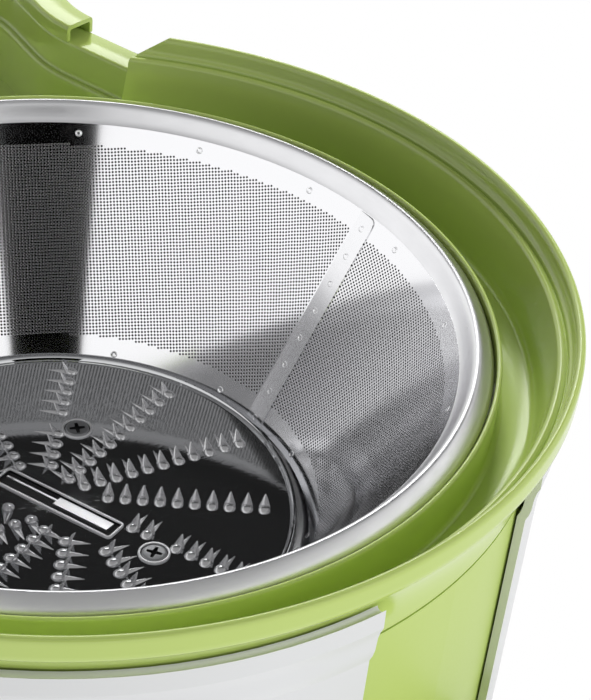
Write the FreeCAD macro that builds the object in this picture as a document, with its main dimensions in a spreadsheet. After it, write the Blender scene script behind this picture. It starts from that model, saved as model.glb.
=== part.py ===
"""Centrifugal juicer with its lid lifted off, drawn about the motor axis.

Z is up from the table, +X points along the juice spout, -X along the pulp chute, and the speed
switch is on the -Y side.  Lengths are millimetres and angles are degrees.
"""
import FreeCAD, Part
import math
import os
import re
import Sketcher
from FreeCAD import Rotation, Vector

doc = FreeCAD.newDocument("CentrifugalJuicer")

# Driving sizes: alias, value and what it measures
SIZES = (
    ("rim_height", 210.0, "outer edge of the basket rim above the table"),
    ("running_gap", 0.3, "clearance between pieces that move past each other"),
    ("seat_gap", 0.3, "clearance under a piece that lifts off its seat"),
    ("press_gap", 0.02, "radial clearance of a pressed fit"),
    ("pivot_gap", 0.08, "radial clearance of a turning fit"),

    ("basket_radius", 78.0, "outer radius of the rolled basket rim"),
    ("rim_band", 5.1, "width of the rim under its crown"),
    ("rim_foot_band", 6.2, "width of the rim at its foot"),
    ("rim_depth", 1.5, "foot of the rim below its outer edge"),
    ("rim_crown", 2.2, "crown of the rim above its outer edge"),
    ("rim_slope", 3.2, "width of the slope from the rim's outer edge to its crown"),
    ("rim_round", 0.8, "rounding of the rim's edges"),
    ("mesh_inset", 6.2, "strainer cone inside the rim's outer radius, at the rim's foot"),
    ("disc_gap", 1.4, "gap between the disc and the strainer cone's foot"),
    ("mesh_gauge", 0.6, "radial thickness of the strainer sheet"),
    ("disc_depth", 43.0, "grater disc below the rim"),
    ("disc_inset", 32.4, "disc's edge inside the rim's outer radius"),
    ("disc_gauge", 1.0, "thickness of the grater disc"),
    ("disc_bead_width", 1.3, "width of the rolled edge of the disc"),
    ("disc_bead_height", 1.2, "height of the rolled edge of the disc"),
    ("floor_ring_lap", 4.1, "overlap of the disc on the ring under it"),
    ("floor_ring_margin", 2.2, "ring under the disc past the strainer cone's foot"),
    ("floor_ring_gauge", 1.6, "thickness of the ring under the disc"),
    ("rotor_phase", 5.0, "angle of the first row of teeth from +X"),
    ("tooth_pitch", 3.35, "spacing of the teeth along a row"),
    ("tooth_margin", 4.1, "plain band between the outermost teeth and the disc's edge"),
    ("tooth_offset", 2.5, "distance of a row's teeth from its radius"),
    ("tooth_length", 2.9, "length of a tooth along its lean"),
    ("tooth_width", 2.0, "width of a tooth at its foot"),
    ("tooth_height", 2.1, "height of a tooth"),
    ("slot_length", 27.0, "length of the knife slot"),
    ("slot_width", 4.4, "width of the knife slot"),
    ("slot_lip", 0.5, "thickness of the folded lip round the slot"),
    ("slot_lip_height", 1.0, "height of the folded lip round the slot"),
    ("knife_gauge", 0.9, "thickness of the core knife"),
    ("knife_tilt", 22.0, "tilt of each half of the core knife"),
    ("knife_stem_radius", 2.0, "radius of the knife's stem"),
    ("grater_screw_circle", 23.0, "radius of the ring of grater screws"),
    ("grater_screw_turn", -2.0, "angle of the first grater screw from the first row"),
    ("grater_screw_head", 2.8, "radius of a grater screw's head"),
    ("grater_screw_radius", 1.5, "radius of a grater screw's shank"),
    ("grater_screw_length", 4.6, "length of a grater screw's shank under its head"),
    ("screw_head_height", 0.9, "height of a countersunk head"),
    ("hub_radius", 29.0, "radius of the hub's flange"),
    ("hub_flange", 3.6, "thickness of the hub's flange"),
    ("hub_skirt_radius", 20.5, "outer radius of the hub's drip skirt"),
    ("hub_wall", 2.2, "wall of the hub"),
    ("dog_radius", 9.0, "corner radius of the drive dog"),
    ("dog_length", 13.0, "height of the drive dog"),

    ("bowl_margin", 15.0, "bowl's rim bead outside the basket"),
    ("bead_width", 1.8, "width of the rim bead"),
    ("bead_rise", 9.4, "top of the rim bead above the basket rim"),
    ("bead_foot_rise", 5.1, "foot of the rim bead above the basket rim"),
    ("bead_overhang", 1.6, "how far the bead stands out from the bowl"),
    ("lip_inset", 4.5, "inner edge of the lid seat inside the rim bead"),
    ("lip_rise", 5.3, "lid seat above the basket rim"),
    ("lip_width", 1.2, "width of the lid seat"),
    ("lip_groove", 0.7, "depth of the grooves in the lid seat"),
    ("lip_groove_width", 0.5, "width of each groove and of the ridge between"),
    ("channel_inset", 7.0, "outer edge of the pulp channel's floor inside the rim bead"),
    ("channel_lap", 2.6, "pulp channel's floor under the basket's rim"),
    ("channel_depth", 8.0, "pulp channel's floor below the basket rim"),
    ("collar_gap", 0.4, "gap between the basket's rim and the collar round it"),
    ("collar_gauge", 1.0, "thickness of the collar round the basket's rim"),
    ("collar_rise", 0.7, "top of the collar above the outer edge of the basket's rim"),
    ("seam_depth", 10.0, "seam of the bowl below the basket rim"),
    ("seam_gap", 0.4, "gap between the bowl's seam and the side shells"),
    ("cove_radius", 24.0, "radius of the hollow under the rim bead"),
    ("bowl_wall", 2.2, "wall of the bowl"),
    ("bead_slope", 5.0, "how far the rim bead's end slopes back"),
    ("rim_end", 48.6, "distance from the axis where the bowl's rim stops beside the chute"),
    ("chute_inset", 3.0, "half the chute's clear width less than the basket's radius"),
    ("chute_wall", 3.2, "wall of the chute"),
    ("chute_shelf", 5.6, "width of the shelf on the chute's wall"),
    ("shelf_gauge", 2.4, "thickness of the shelf on the chute's wall"),
    ("ledge_rise", 1.8, "top of the chute's wall above the basket rim"),
    ("block_rise", 5.4, "top of the lid catch above the basket rim"),
    ("block_start", 66.8, "distance from the axis where the lid catch begins"),
    ("flare_start", 72.0, "distance from the axis where the chute widens"),
    ("flare_end", 94.0, "distance from the axis where the chute is widest"),
    ("flare", 9.0, "how far each wall of the chute swings out"),
    ("chute_end", 116.0, "distance from the axis to the chute's mouth"),
    ("crest_depth", 6.0, "foot step of the chute's wall below the basket rim"),
    ("crest_width", 1.6, "width of the step at the foot of the chute's wall"),
    ("trough_depth", 20.0, "floor of the chute below the basket rim"),
    ("riser_margin", 2.4, "wall between the basket and the chute, outside the basket"),
    ("vessel_depth", 60.0, "floor of the juice vessel below the basket rim"),
    ("waist_inset", 7.5, "juice vessel's inside at mid height, inside the basket rim's radius"),
    ("vessel_waist_depth", 30.0, "mid height of the juice vessel below the basket rim"),
    ("foot_inset", 18.0, "juice vessel's inside near its floor, inside the basket rim's radius"),
    ("vessel_foot_depth", 56.0, "start of the floor's rounding below the basket rim"),
    ("floor_inset", 22.0, "edge of the vessel's flat floor, inside the basket rim's radius"),
    ("tube_radius", 14.2, "inner radius of the tube round the shaft"),
    ("tube_wall", 2.0, "wall of the tube round the shaft"),
    ("tube_rise", 8.0, "height of the tube above the floor"),
    ("spout_width", 25.0, "outer width of the juice spout"),
    ("spout_height", 17.0, "outer height of the juice spout"),
    ("spout_root", 58.0, "start of the spout from the axis"),
    ("spout_reach", 119.0, "tip of the spout from the axis"),
    ("spout_drop", 7.0, "fall of the spout from root to tip"),
    ("spout_cut", 7.0, "how far the spout's top stops short of its lower lip"),
    ("gasket_width", 2.4, "width of the seal between bowl and vessel"),
    ("gasket_depth", 1.2, "depth of the seal's groove"),

    ("shell_inset", 2.0, "outside of a side shell inside the rim bead"),
    ("shoulder_swing", 1.7, "how far a side shell swings in at its shoulder"),
    ("shell_taper", 4.9, "taper of a side shell from its shoulder to its foot"),
    ("shell_gauge", 1.6, "wall of a side shell"),
    ("shell_rise", 0.6, "top of a side shell above the basket rim"),
    ("shoulder_depth", 4.0, "upper end of the shoulder below the basket rim"),
    ("waist_depth", 12.0, "lower end of the shoulder below the basket rim"),
    ("shell_gap_half", 23.0, "half the gap between the shells at the spout"),
    ("shell_turn", 97.0, "angle from the spout where a shell runs straight"),
    ("shell_end", 63.0, "end of a shell from the axis, towards the chute"),

    ("plate_foot", 4.0, "underside of the base plate above the table"),
    ("plate_gauge", 3.0, "thickness of the base plate"),
    ("housing_wall", 2.5, "wall of the motor housing"),
    ("deck_depth", 72.0, "motor housing's deck below the basket rim"),
    ("deck_gauge", 3.0, "thickness of the deck"),
    ("boss_radius", 13.4, "radius of the boss round the shaft"),
    ("boss_rise", 8.0, "height of the boss above the deck"),
    ("post_circle", 53.0, "radius of the ring of screw posts"),
    ("post_radius", 5.0, "radius of a screw post"),
    ("post_height", 26.0, "height of a screw post"),
    ("base_screw_radius", 2.0, "radius of a base screw"),
    ("base_screw_head", 3.8, "radius of a base screw's head"),
    ("base_screw_length", 16.0, "length of a base screw"),
    ("foot_ring_inset", 18.4, "middle of the rubber foot ring inside the shells' foot"),
    ("foot_width", 13.0, "width of the rubber foot ring"),
    ("foot_stem_radius", 3.0, "radius of a plug that holds the foot ring"),
    ("vent_length", 30.0, "length of an air slot in the base plate"),
    ("vent_width", 3.0, "width of an air slot in the base plate"),
    ("vent_pitch", 8.0, "spacing of the air slots"),
    ("vents", 7, "number of air slots"),

    ("shaft_radius", 4.0, "radius of the motor shaft"),
    ("shaft_foot", 10.0, "lower end of the motor shaft above the table"),
    ("core_foot", 48.0, "lower face of the motor's iron"),
    ("armature_radius", 24.6, "radius of the armature"),
    ("armature_slots", 12, "slots in the armature"),
    ("armature_slot_width", 2.4, "width of a slot in the armature"),
    ("armature_slot_depth", 6.0, "depth of a slot in the armature"),
    ("air_gap", 0.6, "gap between armature and stator"),
    ("stator_radius", 44.0, "outer radius of the stator"),
    ("yoke_width", 8.0, "width of the stator's yoke"),
    ("pole_half", 17.0, "half the width of a stator pole"),
    ("coil_wall", 5.0, "thickness of a field coil round its pole"),
    ("coil_gap", 0.3, "insulation round the field coils"),
    ("winding_radius", 21.0, "radius of the armature's end windings"),
    ("winding_height", 7.0, "height of the armature's end windings"),
    ("commutator_radius", 12.0, "radius of the commutator"),
    ("commutator_foot", 27.0, "lower face of the commutator"),
    ("commutator_height", 12.0, "height of the commutator"),
    ("brush_width", 6.0, "width of a carbon brush"),
    ("brush_height", 7.6, "height of a carbon brush"),
    ("brush_length", 14.0, "length of a carbon brush"),
    ("holder_wall", 1.8, "wall of a brush holder"),
    ("holder_length", 20.0, "length of a brush holder"),
    ("holder_start", 15.0, "inner end of a brush holder from the axis"),
    ("fan_radius", 33.0, "radius of the cooling fan"),
    ("fan_gap", 2.0, "clearance under and over the cooling fan"),
    ("fan_height", 7.0, "height of the cooling fan"),
    ("fan_blades", 9, "blades of the cooling fan"),
    ("fan_plate", 1.5, "thickness of the fan's plate"),
    ("fan_boss", 4.0, "height of the fan's boss"),
    ("bearing_radius", 11.0, "outer radius of a bearing"),
    ("bearing_height", 7.0, "height of a bearing"),
    ("bearing_foot", 12.0, "lower face of the lower bearing"),
    ("bracket_radius", 46.0, "radius of a motor bracket"),
    ("bracket_gauge", 3.0, "thickness of a motor bracket"),
    ("cup_wall", 2.6, "wall of a bearing cup"),
    ("upper_bracket_foot", 106.0, "lower face of the upper bracket"),
    ("bolt_circle", 40.0, "radius of the ring of motor bolts"),
    ("bolt_radius", 1.9, "radius of a motor bolt"),
    ("leg_radius", 4.0, "radius of a bracket's leg"),
    ("damper_radius", 6.0, "radius of a rubber damper"),

    ("knob_height", 44.0, "axis of the speed knob above the table"),
    ("knob_radius", 18.0, "radius of the speed knob"),
    ("knob_depth", 9.0, "depth of the knob's body"),
    ("knob_grip", 7.0, "height of the knob's grip bar"),
    ("knob_grip_width", 7.5, "width of the knob's grip bar"),
    ("knob_round", 1.5, "rounding of the knob's edges"),
    ("bezel_radius", 23.0, "radius of the dial behind the knob"),
    ("bezel_proud", 2.6, "face of the dial proud of the front shell"),
    ("spindle_radius", 3.0, "radius of the switch spindle"),
    ("switch_width", 24.0, "width of the speed switch"),
    ("switch_depth", 14.0, "depth of the speed switch"),
    ("switch_height", 20.0, "height of the speed switch"),
    ("grommet_height", 24.0, "axis of the cord inlet above the table"),
    ("grommet_radius", 6.5, "radius of the cord inlet"),
    ("grommet_bore", 3.6, "bore of the cord inlet"),
    ("grommet_flange", 8.6, "radius of the cord inlet's flange"),

    ("clamp_drop", 42.0, "axis of a lid clamp below the basket rim"),
    ("clamp_stand", 7.5, "axis of a lid clamp outside the shells"),
    ("clamp_pin_radius", 2.0, "radius of a clamp's hinge pin"),
    ("clamp_knuckle", 4.5, "radius of a clamp's knuckle"),
    ("clamp_width", 30.0, "width of a clamp"),
    ("clamp_gauge", 4.0, "thickness of a clamp"),
    ("clamp_length", 58.0, "length of a clamp from its axis"),
    ("clamp_lip", 2.4, "reach of the hook at a clamp's end"),
    ("clamp_lip_height", 5.0, "height of the hook at a clamp's end"),
    ("clamp_window_width", 14.0, "width of the opening in a clamp"),
    ("clamp_window_length", 30.0, "length of the opening in a clamp"),
    ("ear_gauge", 4.0, "thickness of a hinge ear"),
    ("ear_radius", 5.0, "radius of a hinge ear round its pin"),

    ("bin_drop", 26.0, "rim of the pulp bin below the basket rim"),
    ("bin_end", 172.0, "far end of the pulp bin from the axis"),
    ("bin_margin", 5.0, "half the pulp bin's width past half the chute's"),
    ("bin_end_half", 48.0, "half the width of the pulp bin's flat end"),
    ("bin_round", 30.0, "corner radius of the pulp bin"),
    ("bin_wall", 2.4, "wall of the pulp bin"),
    ("bin_gap", 0.6, "gap between the pulp bin and the machine"),
    ("grip_reach", 30.0, "reach of the bin's handle"),
    ("grip_gauge", 8.0, "thickness of the bin's handle"),
    ("grip_width", 22.0, "width of the bin's handle"),
    ("grip_foot", 56.0, "lower end of the bin's handle above the table"),
    ("grip_drop", 26.0, "upper end of the bin's handle below the bin's rim"),
)

sheet = doc.addObject("Spreadsheet::Sheet", "Sizes")
for row, (alias, number, meaning) in enumerate(SIZES, start=1):
    sheet.set(f"A{row}", alias)
    sheet.set(f"B{row}", str(number))
    sheet.setAlias(f"B{row}", alias)
    sheet.set(f"C{row}", meaning)
doc.recompute()
ALIASES = {alias for alias, number, meaning in SIZES}
TOUCH = 1e-6
PARTS = []


# Sizes that follow from others
DERIVED = {
    "disc_radius": "basket_radius - disc_inset",
    "mesh_top_radius": "basket_radius - mesh_inset",
    "mesh_foot_radius": "disc_radius + disc_gap",
    "floor_ring_inner": "disc_radius - floor_ring_lap",
    "floor_ring_outer": "mesh_foot_radius + floor_ring_margin",
    "tooth_last": "disc_radius - tooth_margin",
    "bowl_radius": "basket_radius + bowl_margin",
    "lip_radius": "bowl_radius - lip_inset",
    "channel_radius": "bowl_radius - channel_inset",
    "channel_inner": "basket_radius - channel_lap",
    "collar_radius": "basket_radius + collar_gap",
    "riser_radius": "basket_radius + riser_margin",
    "chute_half": "basket_radius - chute_inset",
    "vessel_waist_radius": "basket_radius - waist_inset",
    "vessel_foot_radius": "basket_radius - foot_inset",
    "vessel_floor_radius": "basket_radius - floor_inset",
    "shell_top_radius": "bowl_radius - shell_inset",
    "shell_waist_radius": "shell_top_radius - shoulder_swing",
    "shell_foot_radius": "shell_waist_radius - shell_taper",
    "seam_radius": "shell_waist_radius - shell_gauge - seam_gap",
    "gasket_radius": "(channel_inner + seam_radius) / 2",
    "deck_top": "rim_height - deck_depth",
    "fan_foot": "upper_bracket_foot - fan_gap - fan_height",
    "core_height": "fan_foot - fan_gap - winding_height - core_foot",
    "foot_circle": "shell_foot_radius - foot_ring_inset",
    "clamp_pivot_height": "rim_height - clamp_drop",
    "clamp_pivot_reach": "shell_top_radius + clamp_stand",
    "bin_top": "rim_height - bin_drop",
    "bin_half": "chute_half + bin_margin",
    "grip_top": "bin_top - grip_drop",
}


# Size expressions

def tie(word):
    """Point one word of an expression at its cell, or at the sizes it follows from"""
    if word in DERIVED:
        return "(" + named(DERIVED[word]) + ")"
    return "Sizes." + word if word in ALIASES else word


def named(text):
    """Tie every size in an expression to the sheet"""
    return re.sub(r"[a-z][a-z_]*", lambda match: tie(match.group()), text)


def amount(text):
    """Present value of a size expression"""
    return float(sheet.evalExpression(named(text)))


def bind(thing, prop, text):
    thing.setExpression(prop, named(text))


# Sketches and solids

def origin_plane(body, role):
    return next(plane for plane in body.Origin.OriginFeatures if plane.Role == role)


def bulge(start, end, radius, side):
    """Middle point of an arc between two points, to the left (1) or right (-1) of its chord"""
    chord = end - start
    middle = (start + end) * 0.5
    reach = math.sqrt(max(radius * radius - chord.Length ** 2 / 4, 0.0))
    left = Vector(-chord.y, chord.x, 0).normalize()
    return middle + left * side * (radius - reach)


def draw(body, name, role, corners, arcs=None, lift=None):
    """Closed outline through corners given as size expressions; arcs maps a side to radius and turn"""
    arcs = arcs or {}
    sketch = body.newObject("Sketcher::SketchObject", name)
    sketch.AttachmentSupport = [(origin_plane(body, role), "")]
    sketch.MapMode = "FlatFace"
    if lift:
        bind(sketch, "AttachmentOffset.Base.z", lift)
    spots = [Vector(amount(across), amount(up), 0) for across, up in corners]
    count = len(spots)
    for side, start in enumerate(spots):
        end = spots[(side + 1) % count]
        if side in arcs:
            radius, turn = arcs[side]
            sketch.addGeometry(Part.Arc(start, bulge(start, end, amount(radius), turn), end))
        else:
            sketch.addGeometry(Part.LineSegment(start, end))
    forward = [sketch.getPoint(side, 1).distanceToPoint(spot) < TOUCH for side, spot in enumerate(spots)]
    first = [1 if same else 2 for same in forward]
    last = [2 if same else 1 for same in forward]
    ties = []
    bound = []
    for side in range(count):
        after = (side + 1) % count
        ties.append(Sketcher.Constraint("Coincident", side, last[side], after, first[after]))
    for side, texts in enumerate(corners):
        for kind, axis, text in zip(("DistanceX", "DistanceY"), (-2, -1), texts):
            if abs(amount(text)) < TOUCH:
                ties.append(Sketcher.Constraint("PointOnObject", side, first[side], axis))
            else:
                bound.append((len(ties), text))
                ties.append(Sketcher.Constraint(kind, -1, 1, side, first[side], amount(text)))
    for side, (radius, turn) in arcs.items():
        bound.append((len(ties), radius))
        ties.append(Sketcher.Constraint("Radius", side, amount(radius)))
    sketch.addConstraint(ties)
    for index, text in bound:
        bind(sketch, f"Constraints[{index}]", text)
    return sketch


def turned(label, corners, arcs=None):
    """Solid of revolution about Z from an outline of radius and height"""
    body = doc.addObject("PartDesign::Body", label)
    profile = draw(body, label + "_profile", "XZ_Plane", corners, arcs)
    turn = body.newObject("PartDesign::Revolution", label + "_turn")
    turn.Profile = profile
    turn.ReferenceAxis = (profile, ["V_Axis"])
    turn.Angle = 360.0
    return body


def raised(label, corners, foot, height, arcs=None):
    """Prism on an outline of X and Y, from a foot level"""
    body = doc.addObject("PartDesign::Body", label)
    profile = draw(body, label + "_outline", "XY_Plane", corners, arcs, foot)
    pad = body.newObject("PartDesign::Pad", label + "_pad")
    pad.Profile = profile
    bind(pad, "Length", height)
    return body


def crosswise(label, corners, width, arcs=None):
    """Prism on an outline of X and Z, centred on the plane through the spout and the chute"""
    body = doc.addObject("PartDesign::Body", label)
    profile = draw(body, label + "_outline", "XZ_Plane", corners, arcs)
    pad = body.newObject("PartDesign::Pad", label + "_pad")
    pad.Profile = profile
    pad.SideType = "Symmetric"
    bind(pad, "Length", width)
    return body


AXES = {"x": Rotation(Vector(0, 1, 0), 90), "y": Rotation(Vector(1, 0, 0), -90), "z": Rotation()}


def put(thing, at):
    for axis, text in zip("xyz", at):
        bind(thing, f"Placement.Base.{axis}", text)
    return thing


def rod(label, radius, length, at=("0", "0", "0"), axis="z"):
    """Cylinder that starts at a point and runs along an axis"""
    solid = doc.addObject("Part::Cylinder", label)
    bind(solid, "Radius", radius)
    bind(solid, "Height", length)
    solid.Placement = FreeCAD.Placement(Vector(), AXES[axis])
    return put(solid, at)


def block(label, low, high):
    """Box between two corners"""
    solid = doc.addObject("Part::Box", label)
    for prop, start, end in zip(("Length", "Width", "Height"), low, high):
        bind(solid, prop, f"({end}) - ({start})")
    return put(solid, low)


def group(label, kind, things):
    joined = doc.addObject(kind, label)
    if kind == "Part::Compound":
        joined.Links = things
    else:
        joined.Shapes = things
    return joined


def fuse(label, *things):
    return group(label, "Part::MultiFuse", list(things))


def common(label, *things):
    return group(label, "Part::MultiCommon", list(things))


def compound(label, things):
    return group(label, "Part::Compound", list(things))


def cut(label, base, *tools):
    """Base with every tool taken away"""
    trimmed = doc.addObject("Part::Cut", label)
    trimmed.Base = base
    trimmed.Tool = tools[0] if len(tools) == 1 else fuse(label + "_tools", *tools)
    return trimmed


def mirrored(label, source):
    """Copy on the other side of the plane through the spout and the chute"""
    twin = doc.addObject("Part::Mirroring", label)
    twin.Source = source
    twin.Normal = Vector(0, 1, 0)
    return twin


def rounded(label, source, radius):
    """Solid with every edge but its seams rounded"""
    soft = doc.addObject("Part::Fillet", label)
    soft.Base = source
    edges = enumerate(source.Shape.Edges, start=1)
    soft.Edges = [(index, amount(radius), amount(radius)) for index, edge in edges
                  if not edge.isSeam(source.Shape.ancestorsOfType(edge, Part.Face)[0])]
    return soft


def polar(circle, angle):
    """Place on a circle round the motor axis"""
    return f"{circle} * cos({angle})", f"{circle} * sin({angle})"


def around(label, circle, angles, make):
    """Copies at angles round the motor axis; make gets a label and a place"""
    return [make(f"{label}_{index}", polar(circle, angle)) for index, angle in enumerate(angles)]


def keep(piece):
    """List a finished sub-part"""
    PARTS.append(piece)
    return piece


# Levels and radii shared by several pieces
DISC_TOP = "(rim_height - disc_depth)"
DISC_FOOT = "(rim_height - disc_depth - disc_gauge)"
CHANNEL = "(rim_height - channel_depth)"
SEAM = "(rim_height - seam_depth)"
TROUGH = "(rim_height - trough_depth)"
VESSEL_FLOOR = "(rim_height - vessel_depth)"
PLATE_TOP = "(plate_foot + plate_gauge)"
SKIRT_FOOT = "(deck_top + seat_gap)"
BOSS_TOP = "(deck_top + boss_rise)"
CORE_TOP = "(core_foot + core_height)"
SHELL_SLOPE = "((shell_waist_radius - shell_foot_radius) / (rim_height - waist_depth - plate_foot - plate_gauge))"


def shell_radius(level):
    """Outer radius of a side shell below its shoulder"""
    return f"(shell_foot_radius + {SHELL_SLOPE} * ({level} - {PLATE_TOP}))"


def liner_radius(level):
    """Radius of what stands just inside the side shells"""
    return f"({shell_radius(level)} - shell_gauge - running_gap)"


DERIVED["bezel_face"] = f"{shell_radius('knob_height')} + bezel_proud"


# Strainer basket

def strainer_rim():
    foot = "(rim_height - rim_depth)"
    crown = "(rim_height + rim_crown)"
    corners = (
        ("basket_radius - rim_foot_band", foot),
        ("basket_radius - rim_round", foot),
        ("basket_radius", f"{foot} + rim_round"),
        ("basket_radius", "rim_height"),
        ("basket_radius - rim_slope", crown),
        ("basket_radius - rim_band + rim_round", crown),
        ("basket_radius - rim_band", f"{crown} - rim_round"),
    )
    rounding = {1: ("rim_round", -1), 5: ("rim_round", -1)}
    keep(turned("strainer_rim", corners, rounding))


def strainer_mesh():
    top = "(rim_height - rim_depth)"
    corners = (
        ("mesh_foot_radius", DISC_FOOT),
        ("mesh_foot_radius + mesh_gauge", DISC_FOOT),
        ("mesh_top_radius + mesh_gauge", top),
        ("mesh_top_radius", top),
    )
    keep(turned("strainer_mesh", corners))


def basket_floor_ring():
    ring_foot = f"({DISC_FOOT} - floor_ring_gauge)"
    plate = rod("floor_ring_plate", "floor_ring_outer", "floor_ring_gauge", ("0", "0", ring_foot))
    bore = rod("floor_ring_bore", "floor_ring_inner", "floor_ring_gauge", ("0", "0", ring_foot))
    keep(cut("basket_floor_ring", plate, bore))


def turned_about(piece, angle):
    """Turn a finished piece about the motor axis"""
    piece.Placement = FreeCAD.Placement(Vector(), Rotation(Vector(0, 0, 1), amount(angle)))
    bind(piece, "Placement.Rotation.Angle", angle)
    return piece


def screw_angles():
    return [f"rotor_phase + grater_screw_turn + {third}" for third in (0, 120, 240)]


def tooth_shape(foot):
    """Spike with a rounded heel, leaning along +Y, its heel at the origin"""
    half = amount("tooth_width") / 2
    length = amount("tooth_length")
    heel = [Vector(half * math.cos(turn), -half * math.sin(turn), foot)
            for turn in (0, math.pi / 4, math.pi / 2, 3 * math.pi / 4, math.pi)]
    base = heel + [Vector(-half * 0.55, length * 0.45, foot), Vector(half * 0.55, length * 0.45, foot)]
    tip = Vector(0, length - half, amount(DISC_TOP) + amount("tooth_height"))
    sides = [Part.Face(Part.makePolygon([base[n], base[(n + 1) % len(base)], tip, base[n]]))
             for n in range(len(base))]
    floor = Part.Face(Part.makePolygon(base + base[:1]))
    skin = Part.Shell(sides + [floor])
    skin.sewShape()
    solid = Part.Solid(skin)
    if solid.Volume < 0:
        solid.reverse()
    return solid


def clear_of_fittings(x, y):
    """Whether a tooth with its heel here stays off the knife slot, its lip and the screws"""
    room = amount("tooth_width") / 2 + amount("slot_lip")
    reach = amount("tooth_length")
    if abs(x) < amount("slot_length") / 2 + room and abs(y) < amount("slot_width") / 2 + reach:
        return False
    circle, head = amount("grater_screw_circle"), amount("grater_screw_head")
    for third in (0, 120, 240):
        turn = math.radians(amount("grater_screw_turn") + third)
        if math.hypot(x - circle * math.cos(turn), y - circle * math.sin(turn)) < head + room:
            return False
    return True


# Distance of the first tooth from the centre in each row round the disc
ROW_STARTS = (12.2, 9.2, 6.6, 7.0, 11.0, 13.0, 12.2, 9.2, 6.6, 4.6, 7.6, 13.0)


def tooth_places():
    """Heels of all teeth on the disc before it is turned to its phase: x, y and row angle"""
    places = []
    for row in range(len(ROW_STARTS)):
        turn = 2 * math.pi * row / len(ROW_STARTS)
        along, aside = Vector(math.cos(turn), math.sin(turn)), Vector(-math.sin(turn), math.cos(turn))
        reach = ROW_STARTS[row]
        while reach < amount("tooth_last"):
            heel = along * reach + aside * amount("tooth_offset")
            if clear_of_fittings(heel.x, heel.y):
                places.append((heel.x, heel.y, turn))
            reach += amount("tooth_pitch")
    return places


def grater_disc():
    """Pressed disc with a rolled edge, rows of punched spikes, a knife slot and countersunk holes"""
    corners = (
        ("0", DISC_FOOT),
        ("disc_radius", DISC_FOOT),
        ("disc_radius", f"{DISC_TOP} + disc_bead_height - disc_bead_width / 2"),
        ("disc_radius - disc_bead_width", f"{DISC_TOP} + disc_bead_height - disc_bead_width / 2"),
        ("disc_radius - disc_bead_width", DISC_TOP),
        ("0", DISC_TOP),
    )
    plate = turned("grater_plate", corners, {2: ("disc_bead_width / 2", -1)})
    lip = block("slot_lip_block",
                ("-slot_length / 2 - slot_lip", "-slot_width / 2 - slot_lip", DISC_TOP),
                ("slot_length / 2 + slot_lip", "slot_width / 2 + slot_lip", f"{DISC_TOP} + slot_lip_height"))
    slot = block("slot_opening",
                 ("-slot_length / 2", "-slot_width / 2", DISC_FOOT),
                 ("slot_length / 2", "slot_width / 2", f"{DISC_TOP} + slot_lip_height"))
    sinks = []
    for index, third in enumerate((0, 120, 240)):
        x, y = polar("grater_screw_circle", f"grater_screw_turn + {third}")
        hole = rod(f"screw_hole_{index}", "grater_screw_radius + running_gap", "disc_gauge", (x, y, DISC_FOOT))
        sink = doc.addObject("Part::Cone", f"screw_sink_{index}")
        bind(sink, "Radius1", "grater_screw_radius + running_gap")
        bind(sink, "Radius2", "grater_screw_head + running_gap")
        bind(sink, "Height", "screw_head_height")
        put(sink, (x, y, f"{DISC_TOP} - screw_head_height"))
        sinks += [hole, sink]
    doc.recompute()
    spikes = doc.addObject("Part::Feature", "grater_teeth")
    web_foot = amount(f"{DISC_TOP} - disc_gauge / 2")
    tooth = tooth_shape(web_foot)
    copies = []
    for x, y, turn in tooth_places():
        copy = tooth.copy()
        copy.Placement = FreeCAD.Placement(Vector(x, y, 0), Rotation(Vector(0, 0, 1), math.degrees(turn)))
        copies.append(copy)
    web = Part.makeCylinder(amount("tooth_last"), amount("disc_gauge / 2"), Vector(0, 0, web_foot))
    spikes.Shape = web.fuse(copies).Solids[0]
    pressed = fuse("grater_pressing", plate, lip, spikes)
    keep(turned_about(cut("grater_disc", pressed, slot, *sinks), "rotor_phase"))


def core_knife():
    """Short two-bladed knife on a stem, standing in the slot of the grater disc"""
    reach = "(slot_length / 2 - 2 * running_gap)"
    blades = []
    for name, start, end, tilt in (("front", "0", reach, "knife_tilt"), ("back", f"-{reach}", "0", "-knife_tilt")):
        blade = block(f"knife_blade_{name}",
                      (start, "-(slot_width / 2 - running_gap - knife_gauge)", DISC_TOP),
                      (end, "slot_width / 2 - running_gap - knife_gauge", f"{DISC_TOP} + knife_gauge"))
        blade.Placement = FreeCAD.Placement(blade.Placement.Base, Rotation(Vector(1, 0, 0), amount(tilt)))
        bind(blade, "Placement.Base.y", f"-(slot_width / 2 - running_gap - knife_gauge) * cos({tilt})")
        bind(blade, "Placement.Base.z",
             f"{DISC_TOP} - (slot_width / 2 - running_gap - knife_gauge) * sin({tilt})")
        blades.append(blade)
    stem = rod("knife_stem", "knife_stem_radius", "disc_gauge + knife_gauge", ("0", "0", DISC_FOOT))
    keep(turned_about(fuse("core_knife", *blades, stem), "rotor_phase"))


def grater_screws():
    screws = []
    for index, angle in enumerate(screw_angles()):
        x, y = polar("grater_screw_circle", angle)
        head = doc.addObject("Part::Cone", f"grater_screw_head_{index}")
        bind(head, "Radius1", "grater_screw_radius")
        bind(head, "Radius2", "grater_screw_head")
        bind(head, "Height", "screw_head_height")
        put(head, (x, y, f"{DISC_TOP} - screw_head_height"))
        shank = rod(f"grater_screw_shank_{index}", "grater_screw_radius", "grater_screw_length",
                    (x, y, f"{DISC_TOP} - screw_head_height - grater_screw_length"))
        screws.append(fuse(f"grater_screw_{index}", head, shank))
    keep(compound("grater_screws", screws))


def hexagon(label, radius, foot, height):
    """Six-sided prism about the motor axis"""
    prism = doc.addObject("Part::Prism", label)
    prism.Polygon = 6
    bind(prism, "Circumradius", radius)
    bind(prism, "Height", height)
    return put(prism, ("0", "0", foot))


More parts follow.
